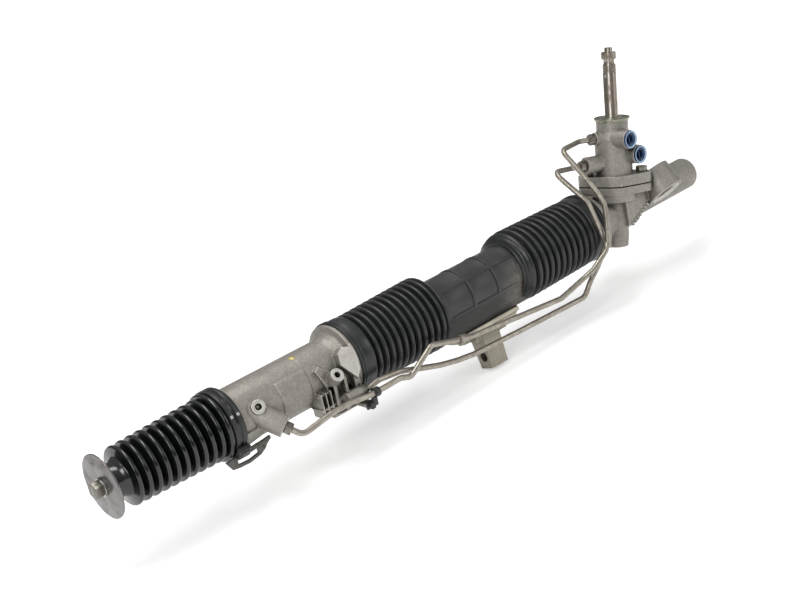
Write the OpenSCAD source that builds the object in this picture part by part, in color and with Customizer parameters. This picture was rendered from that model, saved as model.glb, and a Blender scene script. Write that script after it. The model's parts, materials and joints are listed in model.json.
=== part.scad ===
// Power steering rack with a centre take-off: a rack bar slides in a cylinder
// casting, a slotted centre tube and a gear housing, a pinion drives it through
// a rotary valve, and a bracket bolted to its middle moves the track rods.
// The rack axis is the line Y = Z = 0 while the pieces are drawn, X runs from
// the free end of the rack to the gear housing, and row() then moves the whole
// to its origin at the centre of the bush bore that bolts it to the car.

/* [Rack and travel] */
// Diameter of the rack bar
rack_d = 26; // [24:0.5:27]
// Length of the rack bar
rack_len = 875; // [872:1:879]
// Travel of the rack to each side of the middle
stroke = 66; // [50:1:70]
// Diameter of the piston and of the cylinder bore
piston_d = 44; // [42:0.5:46]
// Width of the piston
piston_w = 14; // [10:1:18]
// Running clearance between sliding pieces, on the radius
run = 0.05; // [0.03:0.01:0.1]
// Air between pieces that pass each other without touching
air = 0.4; // [0.3:0.1:0.6]

/* [End plate] */
// Diameter of the round plate at the free end
plate_d = 72; // [60:1:80]
// Thickness of the round plate
plate_t = 2; // [1.5:0.5:4]
// Thread diameter of the end bolt
end_bolt_d = 12; // [10:1:14]
// Length of the end bolt below its washer
end_bolt_len = 34; // [24:1:45]

/* [Left boot] */
// Distance from the free end of the rack to the first rib of the left boot
boot_start = 19; // [17:0.5:22]
// Length of the ribbed stretch of the left boot
boot_len = 113; // [105:1:116]
// Number of ribs of the left boot
boot_ribs = 10; // [8:1:12]
// Outer diameter of its first rib
boot_d1 = 67; // [62:1:72]
// Outer diameter of its last rib
boot_d2 = 74; // [70:1:78]
// Outer diameter of its neck
boot_neck_d = 39; // [37:1:42]
// Thickness of the rubber
rubber_t = 1.6; // [1.2:0.1:2]

/* [Cylinder casting] */
// Distance from the free end of the rack to the left end of the casting
cyl_x = 133; // [133:1:134]
// Length of the casting up to the face of its right flange
cyl_len = 178; // [176:1:180]
// Outer diameter of the barrel
cyl_d = 65; // [62:1:68]
// Diameter of the seat under the left boot's collar
boot_seat_d = 72.5; // [71:0.5:74]
// Diameter of the right flange
cyl_flange_d = 87; // [84:1:90]
// Depth of the rod seals and bushes at each end
gland_len = 13; // [11:1:14]
// Outer diameter of the rod bushes
bush_d = 38; // [34:1:40]

/* [Centre tube] */
// Outer diameter of the slotted tube
tube_d = 54; // [52:1:55]
// Wall thickness of the slotted tube
tube_t = 3.5; // [3:0.5:4.5]
// Distance between the cylinder flange and the gear housing
mid_len = 426; // [424:1:428]
// Depth of the tube's seats in the two castings
tube_seat = 20; // [14:1:22]
// Width of the slot
slot_w = 22; // [20:1:24]

/* [Middle boots] */
// Length of each middle boot
mid_boot_len = 136; // [134:1:140]
// Number of ribs of each middle boot
mid_ribs = 11; // [9:1:12]
// Outer diameter at the castings
mid_boot_d1 = 88; // [86:1:89]
// Outer diameter at the slider
mid_boot_d2 = 94; // [90:1:96]
// Depth of the cuffs that grip the slider sleeve
cuff_len = 18; // [12:1:20]

/* [Take-off] */
// Angle of the take-off below the rack, forward of straight down
take_angle = 12; // [8:1:16]
// Wall of the slider sleeve round the slotted tube
sleeve_wall = 7; // [6.5:0.5:8]
// Distance from the rack axis down to the sleeve's keel face
keel_r = 43; // [42:0.5:45]
// Length of the bracket
bracket_len = 104; // [98:1:110]
// Width of the bracket
bracket_w = 29; // [28:1:34]
// Height of the bracket
bracket_h = 17; // [15:1:20]
// Length of the lug along the rack
lug_len = 27; // [24:1:32]
// Thickness of the lug at its foot
lug_w = 21; // [19:1:26]
// Distance from the rack axis to the lug's foot
lug_r = 99; // [96:1:104]
// Diameter of the bore in the lug
lug_bore_d = 12; // [10:0.5:14]
// Distance from the rack axis to the bore in the lug
lug_bore_r = 84; // [82:1:86]
// Thread diameter of the two take-off bolts
take_bolt_d = 10; // [8:1:10]
// Distance between the two take-off bolts
take_bolt_span = 68; // [62:1:74]

/* [Gear housing] */
// Distance from the left face of the gear housing to the pinion axis
pinion_x = 48; // [46:1:50]
// Length of the gear housing's body along the rack
gear_len = 98; // [96:1:102]
// Outer diameter of the tube at the right end
end_tube_d = 42; // [40:0.5:44]
// Room left behind the rack's end when it is fully to the right
end_room = 14; // [12:1:18]
// Lean of the pinion axis towards the right end
lean = 9; // [5:1:10]
// Number of pinion teeth
pinion_teeth = 8; // [7:1:9]
// Tooth module of the pinion and the rack
tooth_module = 1.75; // [1.6:0.05:1.8]
// Outer diameter of the lower pinion barrel
low_barrel_d = 30; // [29:0.5:32]
// Diameter of the bore for the rack guide
guide_d = 32; // [28:1:34]

/* [Valve housing] */
// Outer diameter of the valve housing
valve_d = 44; // [42:1:47]
// Height of the valve housing above its flange
valve_h = 69; // [66:1:74]
// Diameter of the bore for the valve sleeve
valve_bore_d = 34; // [32:1:35]
// Span of the flange's two bolts
flange_span = 70; // [68:1:74]
// Thread diameter of those bolts
flange_bolt_d = 8; // [6:1:8]
// Diameter of the input shaft
shaft_d = 17; // [15:0.5:18]
// Height of the plain input shaft above the housing
shaft_h = 57; // [50:1:60]
// Outer diameter of the two hose ports
port_d = 24; // [22:1:26]

/* [Mounting] */
// Outer diameter of the bush boss by the gear housing
bush_boss_d = 52; // [50:1:56]
// Bore of the bush boss
bush_bore_d = 30; // [28:0.5:34]
// Length of the bush boss
bush_boss_len = 34; // [30:1:38]
// Distance from the rack axis to the middle of the bush bore
bush_off = 40; // [39:0.5:42]
// Diameter of the tapped hole in the cylinder's mounting block
mount_hole_d = 6.8; // [5:0.1:8.5]
// Depth of that tapped hole
mount_hole_len = 22; // [16:1:24]

/* [Pipes] */
// Outer diameter of the cylinder pipes
pipe_d = 7; // [6:0.5:8]
// Radius of their bends
pipe_bend = 11; // [10:0.5:12]
// Size of the pipe nuts across their flats
nut_af = 13; // [12:0.5:14]

/* [Hidden] */
$fn = 48;
eps = 0.01;
// Air left round a ring that is pressed into its bore.
seat = 0.03;

// Stations along the rack.
gear_x = cyl_x + cyl_len + mid_len;
flange_x = cyl_x + cyl_len;
pin_x = gear_x + pinion_x;
take_x = (flange_x + gear_x) / 2;
end_x = rack_len + stroke + end_room;
sleeve_x0 = flange_x + mid_boot_len;
sleeve_x1 = gear_x - mid_boot_len;
bore_x0 = cyl_x + gland_len + 9;
bore_x1 = flange_x - 2;
piston_x = (bore_x0 + bore_x1) / 2;
tube_r = tube_d / 2;
sleeve_d = tube_d + 2 * sleeve_wall;
cuff_d = tube_d + 8;
tube_x0 = flange_x + gland_len;
tube_x1 = gear_x + tube_seat - 9;
block_len = take_bolt_span + 28;
slot_len = 2 * stroke + block_len + slot_w + 2;
gland_d = piston_d + 6;

// Pinion and rack teeth. The pitch line lies pinion_r from the pinion axis.
pressure = 25;
pinion_r = pinion_teeth * tooth_module / 2;
backlash = 0.15;
rack_add = 1.15;
rack_ded = 2.05;
pinion_off = 9.3 + pinion_r;
tooth_pitch = PI * tooth_module;

// Heights along the pinion axis, from the middle of the mesh.
low_end = -40;
bear_h0 = 25;
bear_w = 8;
spigot_h0 = bear_h0 + bear_w;
split_h = 42;
flange_t = 14;
flange_turn = -42;
spigot_d = valve_bore_d + 8;
valve_top = split_h + flange_t + valve_h;
sleeve_h0 = 52;
sleeve_h = valve_top - 19 - sleeve_h0;
cover_t = 4;
shaft_top = valve_top + cover_t + shaft_h;
// Hose ports as [across, height, reach], and the pipe bosses as [height, reach, turn to the back].
hose_ports = [[-6, split_h + 61, 33], [12, split_h + 39, 33]];
low_boss = [split_h + 30, 44, 16];
high_boss = [split_h + 62, 27, 20];

// Directions of the pieces that don't follow the main axes.
down = [0, -sin(take_angle), -cos(take_angle)];
front = [0, -cos(take_angle), sin(take_angle)];
bush_dir = [0, -sin(40), -cos(40)];
mount_dir = [0, -cos(40), sin(40)];
port_dir = [0.50, -0.66, -0.56];
bush_x = gear_x + 118;
bush_c = [bush_x, 0, 0] + bush_off * mount_dir + 5 * bush_dir;
mount_face = [flange_x - 38, 0, 0] + 44 * mount_dir + 25 * bush_dir;
left_port = [flange_x - 118, -48, -16];
ball_at = [left_port.x - 18, -35.5, 13.4];
ball_dir = [-0.35, -0.85, 0.39];
mid_port = [flange_x - 13, -48, -25];

clip_at = [flange_x - 8, -52.5, -40.5];

// Vector helpers.
function unit(v) = v / norm(v);
function turn(a, b) = acos(max(-1, min(1, unit(a) * unit(b))));

// Moves the drawn row so that its origin is the middle of the bush bore.
module row() translate(-bush_c) children();

// Turns local +Z to a direction.
module aim(dir) {
    flip = norm(cross([0, 0, 1], dir)) < 1e-6;
    rotate(a = turn([0, 0, 1], dir), v = flip ? [1, 0, 0] : cross([0, 0, 1], dir)) children();
}

// Cylinder along X from x0 to x1, and the same as a ring.
module x_rod(x0, x1, d) translate([x0, 0, 0]) rotate([0, 90, 0]) cylinder(h = x1 - x0, d = d);
module x_ring(x0, x1, d_out, d_in) difference() {
    x_rod(x0, x1, d_out);
    x_rod(x0 - 1, x1 + 1, d_in);
}
// Revolve about X of an outline given as [x, radius] points.
module x_revolve(points) rotate([0, 90, 0]) rotate_extrude(convexity = 6)
    polygon([for (p = points) [p[1], p[0]]]);
// Frame of the pinion: local Z is its axis, local Y points to the back.
module pinion_frame() translate([pin_x, -pinion_off, 0]) rotate([0, lean, 0]) children();
// Frame of the take-off: local X along the rack, local Z down to the lug.
module take_frame() translate([take_x, 0, 0]) rotate([180 - take_angle, 0, 0]) children();
// Ring about local Z.
module ring(d_out, d_in, h) difference() {
    cylinder(h = h, d = d_out);
    translate([0, 0, -1]) cylinder(h = h + 2, d = d_in);
}
// Hexagon prism across its flats.
module hex(af, h) cylinder(h = h, d = af / cos(30), $fn = 6);

// Centre line through corner points, each corner rounded to an arc: [point, direction] pairs.
function bent(p, b) = [for (i = [0 : len(p) - 1]) each i == 0 ? [[p[0], unit(p[1] - p[0])]]
    : i == len(p) - 1 ? [[p[i], unit(p[i] - p[i - 1])]]
    : let (u = unit(p[i] - p[i - 1]), v = unit(p[i + 1] - p[i]), a = turn(u, v), n = unit(v - (u * v) * u),
        c = p[i] - b * tan(a / 2) * u + b * n, steps = max(1, round(a / 14)))
        [for (k = [0 : steps]) let (t = a * k / steps) [c + b * (sin(t) * u - cos(t) * n), cos(t) * u + sin(t) * n]]];
// Directions square to a centre line that carry on from each point to the next.
function across(c) = [for (i = 0, n = unit(cross(c[0][1], [0.1, 0.2, 1])); i < len(c);
    i = i + 1, n = i < len(c) ? unit(n - (n * c[i][1]) * c[i][1]) : n) n];
// Solid round bar of diameter d swept along such a centre line, with m sides.
module sweep(c, d, m) {
    n = across(c);
    k = len(c) - 1;
    polyhedron(convexity = 8,
        points = [for (i = [0 : k], j = [0 : m - 1])
            c[i][0] + d / 2 * (cos(360 * j / m) * n[i] + sin(360 * j / m) * cross(c[i][1], n[i]))],
        faces = concat([[for (j = [0 : m - 1]) j]], [[for (j = [m - 1 : -1 : 0]) k * m + j]],
            [for (i = [0 : k - 1], j = [0 : m - 1]) each let (q = (j + 1) % m)
                [[i * m + j, (i + 1) * m + q, i * m + q], [i * m + j, (i + 1) * m + j, (i + 1) * m + q]]]));
}

// Outline of a ribbed rubber boot: peaks fall from r1 to r2, valleys lie deeper by depth.
function ribs(x0, len, n, r1, r2, depth, wall) = [for (i = [0 : n - 1], s = [0 : 3])
    let (q = len / n, x = x0 + i * q, r = r1 + (r2 - r1) * i / max(1, n - 1))
    [x + q * [0.08, 0.38, 0.62, 0.92][s], r - wall - [depth, 0, 0, depth][s]]];
function back(v) = [for (i = [len(v) - 1 : -1 : 0]) v[i]];
function grow(v, t) = [for (p = v) [p[0], p[1] + t]];

// Cylinder side.
module cylinder_housing() color("#968f87") difference() {
    union() {
        x_revolve([[cyl_x, 0], [cyl_x, boot_seat_d / 2], [cyl_x + 20, boot_seat_d / 2],
            [cyl_x + 23, cyl_d / 2], [flange_x - 20, cyl_d / 2], [flange_x - 13, cyl_d / 2 + 1.5],
            [flange_x - 7, cyl_d / 2 + 5], [flange_x - 4, cyl_flange_d / 2], [flange_x, cyl_flange_d / 2],
            [flange_x, mid_boot_d1 / 2 - 4], [flange_x + 21, mid_boot_d1 / 2 - 4],
            [flange_x + 21, tube_r + 3.5], [tube_x0 + tube_seat, tube_r + 3.5], [tube_x0 + tube_seat, 0]]);
        // Raised pad on the side and the skirt by the boot's seat.
        intersection() {
            x_rod(flange_x - 103, flange_x - 64, cyl_d + 3);
            translate([cyl_x, -60, -17]) cube([200, 60, 39]);
        }
        intersection() {
            translate([cyl_x + 20, 0, 0]) rotate([0, 90, 0]) cylinder(h = 30, d1 = boot_seat_d, d2 = cyl_d);
            translate([cyl_x, -60, -60]) cube([200, 50, 50]);
        }
        // Boss that brings the left port's passage out of the casting.
        translate(left_port) aim(port_dir) translate([0, 0, -46]) cylinder(h = 46, d = 25);
        // Boss round the ball that plugs the passage.
        translate(ball_at) aim(ball_dir) translate([0, 0, -12]) cylinder(h = 14, d = 16);
        // Boss of the port between the piston and the flange.
        translate(mid_port) aim([1, 0, 0]) translate([0, 0, -20]) cylinder(h = 20, d = 16);
        mount_block();
    }
    x_rod(cyl_x - 1, bore_x0 - 7, bush_d);
    x_rod(cyl_x, tube_x0, rack_d + 2 * air);
    x_rod(bore_x0, bore_x1, piston_d);
    x_rod(bore_x1 - 1, tube_x0 + 1, gland_d);
    x_rod(tube_x0, tube_x0 + tube_seat + 1, tube_d);
    // Port bores and the passages behind them.
    translate(left_port) aim(port_dir) port_bore(50);
    translate(mid_port) aim([1, 0, 0]) port_bore(9);
    translate(mid_port - [8, 0, 0]) aim([10, 27, 13]) cylinder(h = 33, d = 5);
    translate(mid_port) aim([1, 0, 0]) cylinder(h = 14, d = nut_af + 6);
    translate(ball_at) aim(ball_dir) translate([0, 0, -5]) cylinder(h = 8, d = 7);
    translate(ball_at) aim(ball_dir) translate([0, 0, -24]) cylinder(h = 24, d = 4);
    translate(clip_at) rotate([90, 0, 0]) cylinder(h = 22, d = 5, center = true);
    translate(mount_face) aim(mount_dir) translate([0, 0, -mount_hole_len])
        cylinder(h = mount_hole_len + 1, d = mount_hole_d);
}
// Threaded end of an oil passage, drilled on to a depth.
module port_bore(depth) {
    translate([0, 0, -9]) cylinder(h = 10, d = 10);
    translate([0, 0, -depth]) cylinder(h = depth, d = 5);
}
// Block below the flange that carries the tapped mounting boss, with its ribs and pads.
module mount_block() {
    b0 = flange_x - 43;
    translate(mount_face) aim(mount_dir) translate([0, 0, -32]) cylinder(h = 32, d = 16);
    // Five-sided pad over the flange's neck.
    translate([flange_x - 25, 0, 0]) rotate([-22, 0, 0]) rotate([90, 0, 0]) linear_extrude(height = 43)
        polygon([[0, -4], [3, 9], [11, 14], [22.4, 10], [22.4, -16], [14, -25]]);
    intersection() {
        translate([b0, -45, -46]) cube([37, 45, 46]);
        rotate([0, 90, 0]) cylinder(h = 2000, r = 56);
        union() {
            for (x = [0, 15, 29]) translate([b0 + x, -45, -46]) cube([x > 20 ? 8 : 4, 45, 46]);
            translate([b0, -36, -46]) cube([37, 36, 46]);
            translate([b0, -45, -46]) cube([37, 45, 5]);
            translate([b0, -45, -24]) cube([37, 45, 4]);
        }
    }
    // Boss for the screw of the pipe clip.
    translate([clip_at.x, -30, clip_at.z]) rotate([90, 0, 0]) cylinder(h = -30 - clip_at.y, d = 10);
    // Web that runs up the barrel from the block.
    intersection() {
        translate([b0 - 12, 0, 0]) rotate([90, 0, 0]) linear_extrude(height = 38)
            polygon([[0, 16], [14, -24], [18, -24], [18, 10], [6, 20]]);
        x_rod(b0 - 20, b0 + 20, cyl_d + 10);
    }
}
module rod_bush_left() color("#b08d57") x_ring(cyl_x + 1, cyl_x + gland_len - 5, bush_d, rack_d + 2 * run);
module rod_seal_left() color("#2a2a2a") x_ring(cyl_x + gland_len - 5, bore_x0 - 7, bush_d, rack_d + 2 * run);
module rod_seal_right() color("#2a2a2a") x_ring(bore_x1, bore_x1 + 6, gland_d, rack_d + 2 * run);
module rod_bush_right() color("#b08d57") x_ring(bore_x1 + 6, tube_x0, gland_d, rack_d + 2 * run);
module passage_ball() color("#c8c8c8") translate(ball_at) aim(ball_dir) translate([0, 0, -1.5]) sphere(d = 7);

// Centre tube with its slot.
module centre_tube() color("#8a8a88") difference() {
    x_ring(tube_x0, tube_x1, tube_d, tube_d - 2 * tube_t);
    take_frame() {
        for (s = [-1, 1]) translate([s * (slot_len - slot_w) / 2, 0, 0]) cylinder(h = tube_d, d = slot_w);
        translate([-(slot_len - slot_w) / 2, -slot_w / 2, 0]) cube([slot_len - slot_w, slot_w, tube_d]);
    }
}

// Gear side.
module lozenge(h, span, end_r, mid_r) {
    a = acos((mid_r - end_r) / (span / 2));
    cylinder(h = h, r = mid_r);
    for (s = [-1, 1]) translate([s * span / 2, 0, 0]) cylinder(h = h, r = end_r);
    linear_extrude(height = h) polygon([for (s = [[1, 1], [-1, 1], [-1, -1], [1, -1]], k = [0, 1])
        let (end = s.x * s.y > 0 ? k == 0 : k == 1)
        [s.x * (end ? span / 2 + end_r * cos(a) : mid_r * cos(a)), s.y * (end ? end_r : mid_r) * sin(a)]]);
}
module gear_housing() color("#968f87") difference() {
    union() {
        x_revolve([[gear_x - 15, 0], [gear_x - 15, tube_r + 3.5], [gear_x - 9, tube_r + 3.5],
            [gear_x - 9, mid_boot_d1 / 2 - 4], [gear_x, mid_boot_d1 / 2 - 4],
            [gear_x, mid_boot_d1 / 2 - 1], [gear_x + 6, mid_boot_d1 / 2 - 1], [gear_x + 14, 30],
            [gear_x + gear_len - 14, 28], [gear_x + gear_len, end_tube_d / 2], [end_x - 5, end_tube_d / 2],
            [end_x - 1.5, end_tube_d / 2 - 1.5], [end_x, end_tube_d / 2 - 5], [end_x, 0]]);
        pinion_frame() {
            translate([0, 0, low_end]) cylinder(h = 14, d1 = low_barrel_d - 3, d2 = low_barrel_d);
            translate([0, 0, low_end + 14]) cylinder(h = bear_h0 - low_end - 18, d = low_barrel_d);
            translate([0, 0, bear_h0 - 7]) cylinder(h = 4, d1 = low_barrel_d, d2 = spigot_d + 8);
            translate([0, 0, bear_h0 - 3]) cylinder(h = split_h + 3 - bear_h0, d = spigot_d + 12);
            rotate([0, 0, flange_turn]) translate([0, 0, split_h - 11]) lozenge(11, flange_span, 12, 28);
        }
        // Flat-fronted body right of the pinion, with the rib at its corner.
        translate([pin_x, 0, 0]) rotate([90, 0, 0]) linear_extrude(height = 36)
            polygon([[0, -13], [4, -13], [44, 6], [46, 30], [0, 30]]);
        translate([pin_x, 0, 0]) rotate([90, 0, 0]) linear_extrude(height = 38)
            polygon([[-2, -12], [2, -12], [2, 30], [-2, 30]]);
        // Boss for the rack guide, at the back.
        translate([pin_x, 0, 0]) rotate([-90, 0, 0]) cylinder(h = 44, d = guide_d + 12);
        translate(bush_c) aim(bush_dir) translate([0, 0, -bush_boss_len / 2])
            cylinder(h = bush_boss_len, d = bush_boss_d);
        // Webs from the bush boss to the tube.
        translate([bush_x, 0, 0]) for (s = [-1, 1]) rotate([-40, 0, 0]) translate([s * 20 - 3, -bush_off, -12])
            cube([6, bush_off, 30]);
    }
    x_rod(gear_x - 16, tube_x1, tube_d);
    x_rod(gear_x, end_x - 8, rack_d + 2 * air + 3);
    x_rod(end_x - 8, end_x + 1, end_tube_d - 6);
    pinion_frame() {
        translate([0, 0, low_end - 1]) cylinder(h = 5, d = 21);
        translate([0, 0, low_end + 3]) cylinder(h = 22, d = 19);
        translate([0, 0, -20]) cylinder(h = 10, d = 16);
        translate([0, 0, -14.5]) cylinder(h = bear_h0 + 15, d = 20);
        translate([0, 0, bear_h0]) cylinder(h = split_h, d = spigot_d);
        rotate([0, 0, flange_turn]) for (s = [-1, 1]) translate([s * flange_span / 2, 0, 28])
            cylinder(h = 30, d = flange_bolt_d);
    }
    translate([pin_x, 0, 0]) rotate([-90, 0, 0]) cylinder(h = 60, d = guide_d);
    translate(bush_c) aim(bush_dir) {
        translate([0, 0, -bush_boss_len]) cylinder(h = 2 * bush_boss_len, d = bush_bore_d);
        for (s = [0, 180]) rotate([s, 0, 0]) translate([0, 0, bush_boss_len / 2 - 3])
            cylinder(h = 4, d1 = bush_bore_d, d2 = bush_bore_d + 8);
    }
}
module tube_end_cap() color("#8a8f94") x_rod(end_x - 8, end_x - 5, end_tube_d - 6);
module lower_bearing() color("#b9b9b9") pinion_frame() translate([0, 0, -32]) ring(19, 12 + 2 * run, 14);
module pinion_cover() color("#8a8f94") pinion_frame() translate([0, 0, low_end + 1]) cylinder(h = 3, d = 21);
module upper_bearing_outer() color("#b9b9b9") pinion_frame() translate([0, 0, bear_h0]) difference() {
    ring(spigot_d, 35, bear_w);
    translate([0, 0, bear_w / 2]) rotate_extrude() translate([15.5, 0]) circle(d = 6.1);
}
module upper_bearing_balls() color("#dcdcdc") pinion_frame() for (i = [0 : 8]) rotate([0, 0, 40 * i])
    translate([15.5, 0, bear_h0 + bear_w / 2]) sphere(d = 6, $fn = 24);
module pinion_seal() color("#1c1c1c") pinion_frame() translate([0, 0, spigot_h0 + 1])
    ring(valve_bore_d - 2 * seat, 26 + 2 * run, 6);

// Rack guide at the back, pressed on by a spring under an adjusting plug.
module rack_guide() color("#6d6a60") difference() {
    translate([pin_x, 4, 0]) rotate([-90, 0, 0]) cylinder(h = 22.5, d = guide_d - 2 * run);
    x_rod(pin_x - 40, pin_x + 40, rack_d + 2 * run);
    translate([pin_x, 15, 0]) rotate([-90, 0, 0]) cylinder(h = 20, d = 18);
}
module guide_spring() color("#5a5a5a") translate([pin_x, 16.25, 0])
    sweep([for (i = [0 : 60]) let (a = 24 * i)
        [[7 * cos(a), 9.5 * i / 60, 7 * sin(a)], unit([-sin(a), 9.5 / 4 / (2 * PI * 7), cos(a)])]], 2.5, 8);
module guide_plug() color("#9a9ea2") difference() {
    translate([pin_x, 27, 0]) rotate([-90, 0, 0]) cylinder(h = 23, d = guide_d);
    translate([pin_x, 44, 0]) rotate([-90, 0, 0]) hex(14, 20);
}
module guide_locknut() color("#9a9ea2") difference() {
    translate([pin_x, 44, 0]) rotate([-90, 0, 0]) hex(41, 5);
    translate([pin_x, 40, 0]) rotate([-90, 0, 0]) cylinder(h = 20, d = guide_d);
}

// Outer end of a pipe boss of the valve housing, with local Z pointing out.
module at_boss(b) rotate([0, 0, -b.z]) translate([-b.y, 0, b.x]) rotate([0, -90, 0]) children();

// Valve housing and what it holds.
module valve_housing() color("#968f87") pinion_frame() difference() {
    union() {
        translate([0, 0, spigot_h0]) cylinder(h = 20, d = spigot_d - 2 * run);
        rotate([0, 0, flange_turn]) translate([0, 0, split_h]) lozenge(flange_t, flange_span, 12, 28);
        translate([0, 0, split_h]) cylinder(h = flange_t + valve_h - 22, d = valve_d + 3);
        translate([0, 0, valve_top - 22]) cylinder(h = 10, d1 = valve_d + 3, d2 = valve_d - 3);
        translate([0, 0, valve_top - 12]) cylinder(h = 12, d = valve_d - 3);
        for (p = hose_ports) {
            translate([p.x, 0, p.y]) rotate([90, 0, 0]) cylinder(h = p.z, d = port_d);
            translate([p.x, 0, p.y]) rotate([90, 0, 0]) cylinder(h = p.z - 6, d1 = port_d + 6, d2 = port_d);
        }
        // Ridge of the casting beside the upper port.
        translate([-6, -15, split_h + 61]) aim([-15, 5.5, 0]) cylinder(h = 16, d1 = 22, d2 = 1.5);
        at_boss(low_boss) translate([0, 0, -low_boss.y]) cylinder(h = low_boss.y, d = 22);
        at_boss(high_boss) translate([0, 0, -high_boss.y]) cylinder(h = high_boss.y, d = 17);
    }
    translate([0, 0, spigot_h0 - 1]) cylinder(h = valve_top - 14 - spigot_h0, d = valve_bore_d);
    translate([0, 0, valve_top - 16]) cylinder(h = 10, d = 25);
    translate([0, 0, valve_top - 12]) cylinder(h = 13, d = 30);
    // Groove of the O-ring in the spigot.
    translate([0, 0, split_h - 7]) ring(60, spigot_d - 4, 3);
    for (p = hose_ports) translate([p.x, -p.z, p.y]) rotate([90, 0, 0]) {
        translate([0, 0, -18]) cylinder(h = 20, d = 15);
        translate([0, 0, -p.z + 10]) cylinder(h = p.z, d = 7);
    }
    for (b = [low_boss, high_boss]) at_boss(b) port_bore(b.y - 14);
    rotate([0, 0, flange_turn]) for (s = [-1, 1]) translate([s * flange_span / 2, 0, split_h - 1])
        cylinder(h = 30, d = flange_bolt_d);
}
module flange_o_ring() color("#1c1c1c") pinion_frame() translate([0, 0, split_h - 6.7]) ring(spigot_d, spigot_d - 4, 2.4);
module flange_bolts() color("#9aa09c") pinion_frame() rotate([0, 0, flange_turn]) for (s = [-1, 1])
    translate([s * flange_span / 2, 0, split_h + flange_t]) {
        hex(13, 7);
        translate([0, 0, -26]) cylinder(h = 26, d = flange_bolt_d);
    }
module input_bearing() color("#b9b9b9") pinion_frame() translate([0, 0, valve_top - 12])
    ring(30 - 2 * seat, shaft_d + 2 * run, 6);
module input_seal() color("#1c1c1c") pinion_frame() translate([0, 0, valve_top - 6])
    ring(30 - 2 * seat, shaft_d + 2 * run, 6);
module dust_cover() color("#8d9488") pinion_frame() translate([0, 0, valve_top]) difference() {
    union() {
        cylinder(h = 2, d = valve_d - 1);
        translate([0, 0, 2]) cylinder(h = cover_t - 2, d = valve_d + 2);
        translate([0, 0, 2]) cylinder(h = cover_t - 1, d = shaft_d + 8);
    }
    translate([0, 0, cover_t - 1]) ring(valve_d - 1, shaft_d + 8, 3);
    translate([0, 0, -1]) cylinder(h = 10, d = shaft_d + 2 * air);
}
module port_caps() color("#3d6f9e") pinion_frame() for (p = hose_ports)
    translate([p.x, -p.z, p.y]) rotate([90, 0, 0]) difference() {
        union() {
            cylinder(h = 3, d = port_d - 1);
            translate([0, 0, -8]) cylinder(h = 8, d = 15);
        }
        translate([0, 0, -6]) cylinder(h = 20, d = 12);
    }

// Pipes between the valve and the cylinder, with their nuts and clips.
// Point of a pipe boss's centre line, a distance past its outer end.
function past(b, d) = [pin_x, -pinion_off + (b.y + d) * sin(b.z), 0] + b.x * [sin(lean), 0, cos(lean)]
    - (b.y + d) * cos(b.z) * [cos(lean), 0, -sin(lean)];
left_route = [left_port - 6 * port_dir, left_port + 21 * port_dir, [flange_x - 64, -60, -23],
    [flange_x - 38, -60, -23], [flange_x - 10, -60, -27], [flange_x + 14, -59, -28],
    [flange_x + 38, -58.5, -28], [flange_x + 53, -58, -33.5], [flange_x + 94, -54, -13],
    [flange_x + 136, -50, -26], [flange_x + 167, -46, -34], [gear_x - 106, -45, -50],
    [gear_x - 67, -50, -38.5], [gear_x - 52, -55, -31.6], [gear_x - 28, -58.5, -15.5],
    [gear_x - 22, -58.5, -5], [gear_x - 15, -57, 24], [gear_x - 12, -54, 42], [gear_x - 17.5, -51, 58],
    [gear_x - 29, -48, 79], [gear_x - 28, -12, 114.5], past(high_boss, 22), past(high_boss, -6)];
mid_route = [mid_port - [6, 0, 0], mid_port + [12, 0, 0], [flange_x + 14, -49, -21.5],
    [flange_x + 47, -48, -26],
    [flange_x + 77, -47, -36], [flange_x + 108, -46, -46], [flange_x + 136, -45, -52.5],
    [flange_x + 165, -44, -57], [flange_x + 247, -44, -61], [gear_x - 65, -45, -65],
    [gear_x - 52, -47, -48], [gear_x - 37, -48.5, -35], [gear_x - 15, -49.5, -11],
    [gear_x - 29, -49, 33], [gear_x - 33.5, -47, 51.5], [gear_x - 44.5, -8, 91],
    past(low_boss, 22), past(low_boss, -6)];
module left_port_pipe() color("#aaa396") sweep(bent(left_route, pipe_bend), pipe_d, 12);
module mid_port_pipe() color("#aaa396") sweep(bent(mid_route, pipe_bend), pipe_d, 12);
module pipe_nuts() color("#8f8f8a") {
    translate(left_port) aim(port_dir) pipe_nut();
    translate(mid_port) aim([1, 0, 0]) pipe_nut();
    pinion_frame() for (b = [low_boss, high_boss]) at_boss(b) pipe_nut();
}
module pipe_nut() difference() {
    union() {
        hex(nut_af, 8);
        translate([0, 0, -7]) cylinder(h = 7, d = 10);
    }
    translate([0, 0, -8]) cylinder(h = 17, d = pipe_d + 0.1);
}
// Clips that tie the pipes: one screwed to the casting, one near the sleeve, one by the gear housing.
module pipe_clips() color("#2b2b2b") {
    difference() {
        union() {
            clip(left_route[4], left_route[5], 6, 7);
            translate(clip_at + [4.5, -2.5, -1]) cube([6.5, 2.5, 14]);
            translate(clip_at + [-5, -2.5, -4.5]) cube([16, 2.5, 9]);
            translate(clip_at) rotate([90, 0, 0]) translate([0, 0, 2.5]) hex(8, 5);
            translate(clip_at) rotate([90, 0, 0]) translate([0, 0, -10]) cylinder(h = 11, d = 5);
        }
        translate(left_route[4]) aim(left_route[5] - left_route[4]) cylinder(h = 20, d = pipe_d + 0.1);
    }
    clip(left_route[9], left_route[10], 4, 12);
    clip(left_route[14], left_route[15], 5, 6);
}
// Ring of a length round the straight from p to q, starting a distance past p.
module clip(p, q, from, len) translate(p + from * unit(q - p)) aim(q - p) ring(pipe_d + 4, pipe_d + 0.1, len);

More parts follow.
